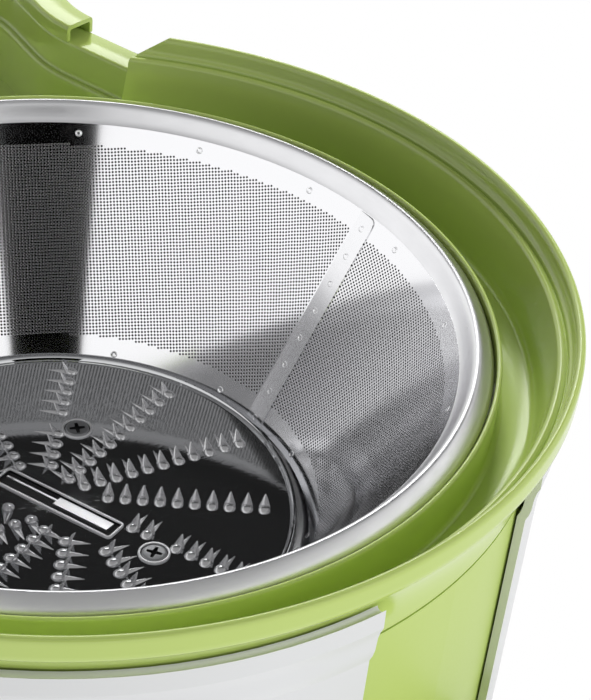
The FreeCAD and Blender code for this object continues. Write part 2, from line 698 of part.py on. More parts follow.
def basket_hub():
    flange_foot = f"({DISC_FOOT} - hub_flange)"
    skirt_foot = f"({VESSEL_FLOOR} + hub_wall)"
    corners = (
        ("0", flange_foot),
        ("hub_skirt_radius - hub_wall", flange_foot),
        ("hub_skirt_radius - hub_wall", skirt_foot),
        ("hub_skirt_radius", skirt_foot),
        ("hub_skirt_radius", flange_foot),
        ("hub_radius", flange_foot),
        ("hub_radius", DISC_FOOT),
        ("0", DISC_FOOT),
    )
    bell = turned("hub_bell", corners)
    boss_foot = f"({BOSS_TOP} + 2 * hub_wall)"
    boss = rod("hub_boss", "tube_radius - hub_wall", f"{flange_foot} - {boss_foot}", ("0", "0", boss_foot))
    socket = hexagon("hub_socket", "dog_radius + 2 * running_gap", boss_foot,
                     f"{flange_foot} + hub_flange / 3 - {boss_foot}")
    threads = []
    for index, angle in enumerate(screw_angles()):
        x, y = polar("grater_screw_circle", angle)
        threads.append(rod(f"hub_thread_{index}", "grater_screw_radius + press_gap", "hub_flange",
                           (x, y, flange_foot)))
    bells = fuse("hub_moulding", bell, boss)
    keep(cut("basket_hub", bells, socket, *threads))


# Green bowl: upper ring with rim, pulp channel and chute, and the juice vessel under it

def rim_profile():
    """Section of the bowl's upper ring from the channel floor, over the lid seat, to the seam"""
    lip = "(rim_height + lip_rise)"
    bead = "(bowl_radius - bead_width)"
    step = "(lip_radius + lip_width)"
    bead_shoulder = "(rim_height + bead_rise - bead_width / 2)"
    corners = (
        ("channel_inner", SEAM),
        ("seam_radius", SEAM),
        ("bowl_radius - bead_overhang", "rim_height + bead_foot_rise - bead_overhang / 2"),
        ("bowl_radius", "rim_height + bead_foot_rise"),
        ("bowl_radius", bead_shoulder),
        (bead, bead_shoulder),
        (bead, f"{lip} + lip_groove"),
        (f"{step} + 2 * lip_groove_width", f"{lip} - lip_groove / 2"),
        (f"{step} + 1.5 * lip_groove_width", f"{lip} + lip_groove / 2"),
        (f"{step} + lip_groove_width", f"{lip} + lip_groove / 2"),
        (f"{step} + lip_groove_width / 2", f"{lip} - lip_groove"),
        (step, lip),
        ("lip_radius + lip_width / 3", lip),
        ("lip_radius", f"{lip} - lip_width / 3"),
        ("channel_radius", CHANNEL),
        ("collar_radius + collar_gauge", CHANNEL),
        ("collar_radius + collar_gauge", "rim_height + collar_rise"),
        ("collar_radius", "rim_height + collar_rise"),
        ("collar_radius", CHANNEL),
        ("channel_inner", CHANNEL),
    )
    return corners, {1: ("cove_radius", 1), 4: ("bead_width / 2", -1)}


def chute_path(offset, side):
    """Corners of one chute wall's face, from the bowl to the mouth"""
    return (
        ("-rim_end", f"{side} * (chute_half + {offset})"),
        ("-flare_start", f"{side} * (chute_half + {offset})"),
        ("-flare_end", f"{side} * (chute_half + flare + {offset})"),
        ("-chute_end", f"{side} * (chute_half + flare + {offset})"),
    )


def chute_strip(label, inner, outer, side, foot, height, start=None):
    """Upright strip between two faces of one chute wall, from its root or from a start"""
    near = list(chute_path(inner, side))
    far = list(chute_path(outer, side))
    if start:
        near[0] = (f"-({start})", near[0][1])
        far[0] = (f"-({start})", far[0][1])
    return raised(label, near + far[::-1], foot, height)


def collector_ring():
    corners, rounding = rim_profile()
    ring = turned("bowl_ring_turning", corners, rounding)
    sweep = block("chute_mouth_block",
                  ("-bowl_radius - bead_width", "-bowl_radius", SEAM),
                  ("-rim_end", "bowl_radius", "rim_height + 2 * bead_rise"))
    core = rod("chute_mouth_core", "riser_radius", "3 * bead_rise", ("0", "0", f"{SEAM}"))
    opening = cut("chute_mouth", sweep, core)
    lip = "(rim_height + lip_rise)"
    bead = "(rim_height + bead_rise)"
    slope = crosswise("rim_end_slope", (
        ("-bowl_radius", lip),
        ("-rim_end", lip),
        ("-rim_end + bead_slope", bead),
        ("-bowl_radius", bead),
    ), "2 * bowl_radius")
    open_ring = cut("bowl_ring_open", ring, opening, slope)
    pieces = [open_ring]
    floor_foot = f"({TROUGH} - bowl_wall)"
    crest = "(rim_height - crest_depth)"
    ledge = "(rim_height + ledge_rise)"
    for name, side in (("front", "-1"), ("rear", "1")):
        pieces.append(chute_strip(f"chute_wall_{name}", "0", "chute_wall", side, floor_foot,
                                  f"{ledge} - {floor_foot}"))
        pieces.append(chute_strip(f"chute_step_{name}", "-crest_width", "chute_wall / 2", side, floor_foot,
                                  f"{crest} - {floor_foot}", "rim_end"))
        pieces.append(chute_strip(f"chute_shelf_{name}", "0", "chute_shelf", side,
                                  f"{ledge} - shelf_gauge", "shelf_gauge"))
        catch = chute_strip(f"lid_catch_{name}", "0", "chute_shelf", side, ledge,
                            "block_rise - ledge_rise", "block_start")
        hollow_low, hollow_high = "chute_half + chute_wall / 3", "chute_half + chute_shelf - chute_wall / 3"
        ends = sorted((f"{side} * ({hollow_low})", f"{side} * ({hollow_high})"), key=amount)
        hollow = block(f"lid_catch_hollow_{name}",
                       ("-flare_start", ends[0], ledge),
                       ("-block_start", ends[1], f"{ledge} + block_rise - ledge_rise - chute_wall / 3"))
        pieces.append(cut(f"lid_catch_open_{name}", catch, hollow))
    near, far = list(chute_path("0", "-1")), list(chute_path("0", "1"))
    near[0], far[0] = ("-rim_end", near[0][1]), ("-rim_end", far[0][1])
    floor = raised("chute_floor", near + far[::-1], floor_foot, "bowl_wall")
    well = rod("chute_floor_well", "riser_radius - bowl_wall", "bowl_wall", ("0", "0", floor_foot))
    pieces.append(cut("chute_floor_open", floor, well))
    riser_block = block("chute_riser_block",
                        ("-riser_radius", "-chute_half", floor_foot),
                        ("-rim_end", "chute_half", CHANNEL))
    riser_tube = rod("chute_riser_tube", "riser_radius", f"{CHANNEL} - {floor_foot}", ("0", "0", floor_foot))
    riser_bore = rod("chute_riser_bore", "riser_radius - bowl_wall", f"{CHANNEL} - {floor_foot}",
                     ("0", "0", floor_foot))
    riser = cut("chute_riser", common("chute_riser_arc", riser_block, riser_tube), riser_bore)
    pieces.append(riser)
    root = f"({CHANNEL} - {floor_foot})"
    for name, side in (("front", "-1"), ("rear", "1")):
        inner = "(sqrt(riser_radius ^ 2 - rim_end ^ 2) - bowl_wall / 2)"
        ends = sorted((f"{side} * {inner}", f"{side} * (chute_half + chute_wall)"), key=amount)
        pieces.append(block(f"chute_cheek_{name}",
                            ("-rim_end", ends[0], floor_foot),
                            ("-rim_end + bowl_wall", ends[1], f"{floor_foot} + {root}")))
    whole = fuse("bowl_ring_whole", *pieces)
    groove = seal_ring("gasket_groove_upper", "press_gap", f"{SEAM}", "gasket_depth / 2")
    keep(cut("collector_ring", whole, groove))


def seal_ring(label, gap, foot, height):
    """Flat ring on the seal's circle, with a gap round it"""
    outer = rod(label + "_outer", f"gasket_radius + gasket_width / 2 + {gap}", height, ("0", "0", foot))
    inner = rod(label + "_inner", f"gasket_radius - gasket_width / 2 - {gap}", height, ("0", "0", foot))
    return cut(label, outer, inner)


def vessel_profile():
    """Section of the juice vessel: chamber, tube round the shaft, flange and outer skirt"""
    inner = (
        ("channel_inner", SEAM),
        ("vessel_waist_radius", "rim_height - vessel_waist_depth"),
        ("vessel_foot_radius", "rim_height - vessel_foot_depth"),
        ("vessel_floor_radius", VESSEL_FLOOR),
        ("tube_radius + tube_wall", VESSEL_FLOOR),
        ("tube_radius + tube_wall", f"{VESSEL_FLOOR} + tube_rise"),
        ("tube_radius", f"{VESSEL_FLOOR} + tube_rise"),
    )
    outer = (
        ("tube_radius", f"{VESSEL_FLOOR} - bowl_wall"),
        ("vessel_floor_radius + bowl_wall / 2", f"{VESSEL_FLOOR} - bowl_wall"),
        ("vessel_foot_radius + bowl_wall", "rim_height - vessel_foot_depth - bowl_wall / 2"),
        ("vessel_waist_radius + bowl_wall", "rim_height - vessel_waist_depth"),
        ("channel_inner + bowl_wall", f"{SEAM} - bowl_wall"),
        ("seam_radius - bowl_wall", f"{SEAM} - bowl_wall"),
        (f"{liner_radius(SKIRT_FOOT)} - bowl_wall", SKIRT_FOOT),
        (liner_radius(SKIRT_FOOT), SKIRT_FOOT),
        ("seam_radius", SEAM),
    )
    return inner + outer


def spout_side(inset, tip):
    """Side outline of the spout, inset from its outer faces"""
    root_foot = f"({VESSEL_FLOOR} - bowl_wall + {inset})"
    root_top = f"({VESSEL_FLOOR} - bowl_wall + spout_height - {inset})"
    tip_foot = f"({root_foot} - spout_drop)"
    start = f"(spout_root - 2 * {inset})"
    return (
        (start, root_foot),
        (f"spout_reach + {tip}", tip_foot),
        (f"spout_reach - spout_cut + {tip}", f"{root_top} - spout_drop"),
        (start, root_top),
    )


def juice_vessel():
    shell = turned("vessel_turning", vessel_profile())
    spout = crosswise("spout_outside", spout_side("0", "0"), "spout_width")
    passage = crosswise("spout_passage", spout_side("bowl_wall", "spout_cut"), "spout_width - 2 * bowl_wall")
    sweep = block("vessel_chute_block",
                  ("-bowl_radius", "-bowl_radius", f"{TROUGH} - 2 * bowl_wall"),
                  ("-rim_end + 2 * bowl_wall", "bowl_radius", SEAM))
    core = rod("vessel_chute_core", "channel_inner + bowl_wall", "2 * trough_depth",
               ("0", "0", f"{TROUGH} - 2 * bowl_wall"))
    clearance = cut("vessel_chute_space", sweep, core)
    groove = seal_ring("gasket_groove_lower", "press_gap", f"{SEAM} - gasket_depth / 2", "gasket_depth / 2")
    keep(cut("juice_vessel", fuse("vessel_with_spout", shell, spout), passage, clearance, groove))


def vessel_gasket():
    ring = seal_ring("gasket_round", "0", f"{SEAM} - gasket_depth / 2", "gasket_depth")
    away = block("gasket_chute_end",
                 ("-bowl_radius", "-bowl_radius", f"{SEAM} - gasket_depth"),
                 ("-rim_end + 3 * bowl_wall", "bowl_radius", f"{SEAM} + gasket_depth"))
    keep(cut("vessel_gasket", ring, away))


# Base: side shells, motor housing, plate and feet

def shell_profile():
    """Section of a side shell: rounded top, S-shaped shoulder and tapering wall"""
    top = "(rim_height + shell_rise - shell_gauge / 2)"
    shoulder = "(rim_height - shoulder_depth)"
    middle = "(rim_height - (shoulder_depth + waist_depth) / 2)"
    waist = "(rim_height - waist_depth)"
    middle_radius = "((shell_top_radius + shell_waist_radius) / 2)"
    outer = (
        ("shell_foot_radius", PLATE_TOP),
        ("shell_waist_radius", waist),
        (middle_radius, middle),
        ("shell_top_radius", shoulder),
        ("shell_top_radius", top),
    )
    inner = [(f"{radius} - shell_gauge", level) for radius, level in outer[::-1]]
    tall = "(waist_depth - shoulder_depth)"
    swing = "(shell_top_radius - shell_waist_radius)"
    curve = f"({tall} ^ 2 + {swing} ^ 2) / (4 * {swing})"
    arcs = {1: (curve, -1), 2: (curve, 1), 4: ("shell_gauge / 2", 1), 6: (curve, -1), 7: (curve, 1)}
    return list(outer) + inner, arcs


def shell_wall():
    """Shell on the +Y side: the section swept round the bowl and then straight past the chute"""
    body = doc.addObject("PartDesign::Body", "shell_sweep")
    corners, arcs = shell_profile()
    profile = draw(body, "shell_section", "XZ_Plane", corners, arcs)
    spine = body.newObject("Sketcher::SketchObject", "shell_path")
    spine.AttachmentSupport = [(origin_plane(body, "XY_Plane"), "")]
    spine.MapMode = "FlatFace"
    radius = amount("shell_foot_radius")
    turn = math.radians(amount("shell_turn"))
    knee = Vector(radius * math.cos(turn), radius * math.sin(turn), 0)
    run = Vector(-math.sin(turn), math.cos(turn), 0) * amount("shell_end")
    arc = Part.ArcOfCircle(Part.Circle(Vector(), Vector(0, 0, 1), radius), 0, turn)
    spine.addGeometry(arc)
    spine.addGeometry(Part.LineSegment(knee, knee + run))
    limits = [
        Sketcher.Constraint("Coincident", 0, 3, -1, 1),
        Sketcher.Constraint("PointOnObject", 0, 1, -1),
        Sketcher.Constraint("Radius", 0, radius),
        Sketcher.Constraint("Tangent", 0, 2, 1, 1),
        Sketcher.Constraint("DistanceX", 0, 2, -1, 1, -knee.x),
        Sketcher.Constraint("Distance", 1, run.Length),
    ]
    spine.addConstraint(limits)
    bind(spine, "Constraints[2]", "shell_foot_radius")
    bind(spine, "Constraints[4]", "-shell_foot_radius * cos(shell_turn)")
    bind(spine, "Constraints[5]", "shell_end")
    sweep = body.newObject("PartDesign::AdditivePipe", "shell_pipe")
    sweep.Profile = profile
    sweep.Spine = spine
    gap = block("shell_spout_gap",
                ("0", "-shell_gap_half", "0"),
                ("shell_top_radius + shell_gauge", "shell_gap_half", "rim_height + bead_rise"))
    past = block("shell_chute_end",
                 ("-2 * shell_end - shell_top_radius", "0", "0"),
                 ("-shell_end", "2 * shell_top_radius", "rim_height + bead_rise"))
    return cut("shell_side", body, gap, past)


def hinge_ears(label):
    """Pair of ears on the +Y side that hold a clamp's pin"""
    ears = []
    for name, low in (("near", "-(clamp_width / 2 + running_gap + ear_gauge)"),
                      ("far", "clamp_width / 2 + running_gap")):
        arm = block(f"{label}_arm_{name}",
                    (low, f"{shell_radius('clamp_pivot_height')} - 2 * shell_gauge",
                     "clamp_pivot_height - ear_radius"),
                    (f"{low} + ear_gauge", "clamp_pivot_reach", "clamp_pivot_height + ear_radius"))
        nose = rod(f"{label}_nose_{name}", "ear_radius", "ear_gauge",
                   (low, "clamp_pivot_reach", "clamp_pivot_height"), "x")
        ears += [arm, nose]
    hollow = rod(f"{label}_inside", f"{shell_radius('clamp_pivot_height')} - shell_gauge / 2", "rim_height")
    pin = rod(f"{label}_pin_hole", "clamp_pin_radius + press_gap", "2 * clamp_width",
              ("-clamp_width", "clamp_pivot_reach", "clamp_pivot_height"), "x")
    return cut(label, fuse(f"{label}_solid", *ears), hollow, pin)


def side_shells():
    wall = shell_wall()
    ears = hinge_ears("shell_ears")
    inlet = rod("shell_inlet", "grommet_radius + press_gap", "shell_foot_radius",
                ("0", "shell_foot_radius / 2", "grommet_height"), "y")
    keep(cut("rear_shell", fuse("rear_shell_solid", wall, ears), inlet))
    dial = rod("dial_boss", "bezel_radius", "bezel_face - shell_foot_radius + 2 * shell_gauge",
               ("0", "-bezel_face", "knob_height"), "y")
    inside = rod("dial_inside", f"{liner_radius('knob_height + bezel_radius')}", "rim_height")
    front = fuse("front_shell_solid", mirrored("front_wall", wall), mirrored("front_ears", ears),
                 cut("dial", dial, inside))
    stem = rod("dial_hole", "spindle_radius + running_gap", "bezel_face",
               ("0", "-bezel_face", "knob_height"), "y")
    keep(cut("front_shell", front, stem))


def housing_profile():
    deck_foot = "(deck_top - deck_gauge)"
    return (
        (f"{liner_radius(PLATE_TOP)} - housing_wall", PLATE_TOP),
        (liner_radius(PLATE_TOP), PLATE_TOP),
        (liner_radius("deck_top"), "deck_top"),
        ("boss_radius", "deck_top"),
        ("boss_radius", BOSS_TOP),
        ("shaft_radius + running_gap", BOSS_TOP),
        ("shaft_radius + running_gap", deck_foot),
        (f"{liner_radius('deck_top')} - housing_wall", deck_foot),
    )


POST_ANGLES = (45, 135, 225, 315)
FOOT_ANGLES = (0, 90, 180, 270)
BOLT_ANGLES = (90, 210, 330)


def motor_housing():
    tub = turned("housing_turning", housing_profile())
    posts = around("housing_post", "post_circle", POST_ANGLES,
                   lambda label, at: rod(label, "post_radius", "post_height", (*at, PLATE_TOP)))
    threads = around("housing_thread", "post_circle", POST_ANGLES,
                     lambda label, at: rod(label, "base_screw_radius + press_gap", "base_screw_length",
                                           (*at, PLATE_TOP)))
    ribs = []
    for index, angle in enumerate(POST_ANGLES):
        rib = block(f"housing_rib_{index}",
                    ("post_circle", "-housing_wall / 2", PLATE_TOP),
                    (f"{liner_radius(PLATE_TOP)} - housing_wall / 2", "housing_wall / 2",
                     f"{PLATE_TOP} + post_height"))
        ribs.append(turned_about_point(rib, angle))
    seal = rod("housing_seal_seat", "boss_radius / 2 + running_gap + press_gap", "boss_rise / 2",
               ("0", "0", f"{BOSS_TOP} - boss_rise / 2"))
    stem = rod("housing_switch_hole", "spindle_radius + running_gap", "shell_foot_radius",
               ("0", "-shell_foot_radius", "knob_height"), "y")
    inlet = rod("housing_inlet", "grommet_radius + press_gap", "shell_foot_radius",
                ("0", "shell_foot_radius / 2", "grommet_height"), "y")
    moulding = fuse("housing_moulding", tub, *posts, *ribs)
    keep(cut("motor_housing", moulding, *threads, seal, stem, inlet))


def turned_about_point(piece, angle):
    """Swing a block that starts on the +X side round the motor axis"""
    low = ("post_circle", "-housing_wall / 2")
    piece.Placement = FreeCAD.Placement(piece.Placement.Base, Rotation(Vector(0, 0, 1), angle))
    bind(piece, "Placement.Base.x", f"{low[0]} * cos({angle}) - ({low[1]}) * sin({angle})")
    bind(piece, "Placement.Base.y", f"{low[0]} * sin({angle}) + ({low[1]}) * cos({angle})")
    return piece


def base_plate():
    """Plate with the same plan as the shells, air slots, screw holes and holes for the feet"""
    knee = polar("shell_foot_radius", "shell_turn")
    slope = f"({knee[1]} + (shell_end + {knee[0]}) * cos(shell_turn) / sin(shell_turn))"
    corners = (
        ("shell_foot_radius", "0"),
        knee,
        ("-shell_end", slope),
        ("-shell_end", f"-{slope}"),
        (knee[0], f"-({knee[1]})"),
    )
    rounding = {0: ("shell_foot_radius", -1), 4: ("shell_foot_radius", -1)}
    blank = raised("plate_blank", corners, "plate_foot", "plate_gauge", rounding)
    back = rod("plate_back", liner_radius(PLATE_TOP), "plate_gauge", ("0", "0", "plate_foot"))
    plate = fuse("plate_solid", blank, back)
    holes = around("plate_screw_hole", "post_circle", POST_ANGLES,
                   lambda label, at: rod(label, "base_screw_radius + running_gap", "plate_gauge",
                                         (*at, "plate_foot")))
    holes += around("plate_foot_hole", "foot_circle", FOOT_ANGLES,
                    lambda label, at: rod(label, "foot_stem_radius + press_gap", "plate_gauge",
                                          (*at, "plate_foot")))
    count = int(amount("vents"))
    for index in range(count):
        middle = f"vent_pitch * {index - (count - 1) / 2}"
        holes.append(block(f"plate_vent_{index}",
                           (f"{middle} - vent_width / 2", "-vent_length / 2", "plate_foot"),
                           (f"{middle} + vent_width / 2", "vent_length / 2", PLATE_TOP)))
    keep(cut("base_plate", plate, *holes))


def base_screw(label, at):
    head = rod(label + "_head", "base_screw_head", "plate_foot / 2", (*at, "plate_foot / 2"))
    shank = rod(label + "_shank", "base_screw_radius", "base_screw_length", (*at, "plate_foot"))
    return fuse(label, head, shank)


def base_fittings():
    ring = tube("foot_ring", "foot_circle + foot_width / 2", "foot_circle - foot_width / 2", "0", "plate_foot")
    plugs = around("foot_plug", "foot_circle", FOOT_ANGLES,
                   lambda label, at: rod(label, "foot_stem_radius", "plate_gauge", (*at, "plate_foot")))
    keep(fuse("rubber_foot", ring, *plugs))
    keep(compound("base_screws", around("base_screw", "post_circle", POST_ANGLES, base_screw)))


# Motor

def tube(label, outer, inner, foot, height):
    """Plain ring about the motor axis"""
    solid = rod(label + "_outside", outer, height, ("0", "0", foot))
    bore = rod(label + "_inside", inner, height, ("0", "0", foot))
    return cut(label, solid, bore)


def motor_shaft():
    top = f"({BOSS_TOP} + dog_length + press_gap)"
    keep(rod("motor_shaft", "shaft_radius", f"{top} - shaft_foot", ("0", "0", "shaft_foot")))


def rotor():
    bore = "shaft_radius + press_gap"
    stack = tube("armature_stack", "armature_radius", bore, "core_foot", "core_height")
    count = int(amount("armature_slots"))
    slots = []
    for index in range(count):
        slot = block(f"armature_slot_{index}",
                     ("armature_radius - armature_slot_depth", "-armature_slot_width / 2", "core_foot"),
                     ("armature_radius + armature_slot_depth", "armature_slot_width / 2", CORE_TOP))
        angle = f"{360 / count} * {index}"
        slot.Placement = FreeCAD.Placement(slot.Placement.Base, Rotation(Vector(0, 0, 1), amount(angle)))
        low = ("(armature_radius - armature_slot_depth)", "(-armature_slot_width / 2)")
        bind(slot, "Placement.Base.x", f"{low[0]} * cos({angle}) - {low[1]} * sin({angle})")
        bind(slot, "Placement.Base.y", f"{low[0]} * sin({angle}) + {low[1]} * cos({angle})")
        slots.append(slot)
    keep(cut("armature_core", stack, *slots))
    ends = []
    for name, foot in (("lower", "core_foot - winding_height"), ("upper", CORE_TOP)):
        corners = (
            (bore, foot),
            ("winding_radius", foot),
            ("winding_radius", f"{foot} + winding_height"),
            (bore, f"{foot} + winding_height"),
        )
        ends.append(turned(f"winding_{name}", corners, {1: ("winding_height", -1)}))
    keep(compound("armature_windings", ends))
    keep(tube("commutator", "commutator_radius", bore, "commutator_foot", "commutator_height"))
    cooling_fan(bore)
    dog = hexagon("dog_prism", "dog_radius", BOSS_TOP + " + seat_gap", "dog_length")
    dog_bore = rod("dog_bore", bore, "dog_length", ("0", "0", BOSS_TOP + " + seat_gap"))
    keep(cut("drive_dog", dog, dog_bore))


def cooling_fan(bore):
    plate = tube("fan_disc", "fan_radius", bore, "fan_foot", "fan_plate")
    boss = tube("fan_middle", "2 * shaft_radius", bore, "fan_foot", "fan_boss")
    blades = []
    count = int(amount("fan_blades"))
    for index in range(count):
        angle = f"{360 / count} * {index}"
        blade = block(f"fan_blade_{index}",
                      ("fan_radius / 2", "0", "fan_foot"),
                      ("fan_radius - fan_plate", "fan_plate", "fan_foot + fan_height"))
        blade.Placement = FreeCAD.Placement(blade.Placement.Base, Rotation(Vector(0, 0, 1), amount(angle)))
        bind(blade, "Placement.Base.x", f"fan_radius / 2 * cos({angle})")
        bind(blade, "Placement.Base.y", f"fan_radius / 2 * sin({angle})")
        blades.append(blade)
    keep(fuse("cooling_fan", plate, boss, *blades))


def stator():
    bore = "(armature_radius + air_gap)"
    yoke = tube("stator_yoke", "stator_radius", "stator_radius - yoke_width", "core_foot", "core_height")
    poles = block("stator_poles",
                  ("-(stator_radius - yoke_width / 2)", "-pole_half", "core_foot"),
                  ("stator_radius - yoke_width / 2", "pole_half", CORE_TOP))
    hollow = rod("stator_bore", bore, "core_height", ("0", "0", "core_foot"))
    holes = around("stator_hole", "bolt_circle", BOLT_ANGLES,
                   lambda label, at: rod(label, "bolt_radius + running_gap", "core_height", (*at, "core_foot")))
    keep(cut("stator_core", fuse("stator_iron", yoke, poles), hollow, *holes))
    coils = []
    for name, low, high in (("left", "-(stator_radius - yoke_width)", f"-({bore} + coil_gap)"),
                            ("right", f"{bore} + coil_gap", "stator_radius - yoke_width")):
        outside = block(f"coil_outside_{name}",
                        (low, "-(pole_half + coil_gap + coil_wall)", "core_foot - coil_gap - coil_wall"),
                        (high, "pole_half + coil_gap + coil_wall", f"{CORE_TOP} + coil_gap + coil_wall"))
        window = block(f"coil_window_{name}",
                       (low, "-(pole_half + coil_gap)", "core_foot - coil_gap"),
                       (high, "pole_half + coil_gap", f"{CORE_TOP} + coil_gap"))
        inside = rod(f"coil_limit_{name}", "stator_radius - yoke_width - coil_gap", "3 * core_height")
        clear = rod(f"coil_clear_{name}", f"{bore} + coil_gap", "3 * core_height")
        coils.append(cut(f"coil_{name}", common(f"coil_blank_{name}", outside, inside), window, clear))
    keep(compound("field_coils", coils))


def bearings_and_brackets():
    upper_foot = "(upper_bracket_foot + bracket_gauge - bearing_height)"
    cup_bore = "bearing_radius + press_gap"
    keep(tube("lower_bearing", "bearing_radius", "shaft_radius + pivot_gap", "bearing_foot", "bearing_height"))
    keep(tube("upper_bearing", "bearing_radius", "shaft_radius + pivot_gap", upper_foot, "bearing_height"))
    lower_top = "(bearing_foot + bearing_height)"
    lower_plate = rod("lower_plate", "bracket_radius", "bracket_gauge",
                      ("0", "0", f"{lower_top} - bracket_gauge"))
    lower_cup = rod("lower_cup", "bearing_radius + cup_wall", "bearing_height", ("0", "0", "bearing_foot"))
    lower_seat = rod("lower_seat", cup_bore, "bearing_height", ("0", "0", "bearing_foot"))
    legs = around("lower_leg", "bolt_circle", BOLT_ANGLES,
                  lambda label, at: rod(label, "leg_radius", f"core_foot - {lower_top} + bracket_gauge",
                                        (*at, f"{lower_top} - bracket_gauge")))
    holes = around("lower_hole", "bolt_circle", BOLT_ANGLES,
                   lambda label, at: rod(label, "bolt_radius + running_gap", "core_foot",
                                         (*at, "0")))
    pads = []
    holder_foot = "(commutator_foot + (commutator_height - brush_height) / 2 - holder_wall)"
    for name, low, high in (("front", "-(holder_start + holder_length)", "-holder_start"),
                            ("rear", "holder_start", "holder_start + holder_length")):
        pads.append(block(f"brush_pad_{name}",
                          ("-(brush_width / 2 + holder_wall)", low, f"{lower_top} - bracket_gauge"),
                          ("brush_width / 2 + holder_wall", high, holder_foot)))
    spider = fuse("lower_solid", lower_plate, lower_cup, *legs, *pads)
    keep(cut("lower_bracket", spider, lower_seat, *holes))
    upper_top = "(upper_bracket_foot + bracket_gauge)"
    upper_plate = rod("upper_plate", "bracket_radius", "bracket_gauge", ("0", "0", "upper_bracket_foot"))
    upper_cup = rod("upper_cup", "bearing_radius + cup_wall", "bearing_height", ("0", "0", upper_foot))
    upper_seat = rod("upper_seat", cup_bore, "bearing_height", ("0", "0", upper_foot))
    legs = around("upper_leg", "bolt_circle", BOLT_ANGLES,
                  lambda label, at: rod(label, "leg_radius", f"{upper_top} - {CORE_TOP}", (*at, CORE_TOP)))
    holes = around("upper_hole", "bolt_circle", BOLT_ANGLES,
                   lambda label, at: rod(label, "bolt_radius + running_gap", "core_foot", (*at, CORE_TOP)))
    keep(cut("upper_bracket", fuse("upper_solid", upper_plate, upper_cup, *legs), upper_seat, *holes))
    bolt_foot = f"({lower_top} - bracket_gauge)"
    head = "(2 * bolt_radius)"

    def bolt(label, at):
        shank = rod(label + "_shank", "bolt_radius", f"{upper_top} - {bolt_foot}", (*at, bolt_foot))
        cap = rod(label + "_cap", head, "bolt_radius", (*at, f"{bolt_foot} - bolt_radius"))
        return fuse(label, shank, cap)

    keep(compound("motor_bolts", around("motor_bolt", "bolt_circle", BOLT_ANGLES, bolt)))
    keep(compound("motor_dampers", around(
        "motor_damper", "bolt_circle", [angle + 60 for angle in BOLT_ANGLES],
        lambda label, at: rod(label, "damper_radius", f"deck_top - deck_gauge - {upper_top}", (*at, upper_top)))))
    keep(tube("shaft_seal", "boss_radius / 2 + running_gap", "shaft_radius + pivot_gap",
              f"{BOSS_TOP} - boss_rise / 2", "boss_rise / 2"))
    brushes(holder_foot)


def brushes(holder_foot):
    half = "(brush_width / 2)"
    foot = f"({holder_foot} + holder_wall)"
    cap = "holder_wall"
    holders, carbons, springs = [], [], []
    for name, side in (("front", -1), ("rear", 1)):
        def span(start, end):
            """Ends of a stretch on this side of the shaft, lowest first"""
            return (start, end) if side > 0 else (f"-({end})", f"-({start})")
        low, high = span("holder_start", "holder_start + holder_length")
        case = block(f"holder_case_{name}",
                     (f"-({half} + holder_wall)", low, holder_foot),
                     (f"{half} + holder_wall", high, f"{foot} + brush_height + holder_wall"))
        low, high = span("holder_start", f"holder_start + holder_length - {cap}")
        way = block(f"holder_way_{name}",
                    (f"-({half} + press_gap)", low, f"{foot} - press_gap"),
                    (f"{half} + press_gap", high, f"{foot} + brush_height + press_gap"))
        holders.append(cut(f"brush_holder_{name}", case, way))
        start = "(commutator_radius + pivot_gap)"
        low, high = span(start, f"{start} + brush_length")
        stick = block(f"brush_stick_{name}", (f"-{half}", low, foot), (half, high, f"{foot} + brush_height"))
        face = rod(f"brush_face_{name}", "commutator_radius + pivot_gap", "core_foot")
        carbons.append(cut(f"carbon_brush_{name}", stick, face))
        low, high = span(f"{start} + brush_length", f"holder_start + holder_length - {cap}")
        length = f"({high}) - ({low})"
        coil = rod(f"spring_outside_{name}", f"{half} - running_gap", length,
                   ("0", low, f"{foot} + brush_height / 2"), "y")
        hole = rod(f"spring_inside_{name}", f"{half} - 4 * running_gap", length,
                   ("0", low, f"{foot} + brush_height / 2"), "y")
        springs.append(cut(f"brush_spring_{name}", coil, hole))
    keep(compound("brush_holders", holders))
    keep(compound("carbon_brushes", carbons))
    keep(compound("brush_springs", springs))


# Controls

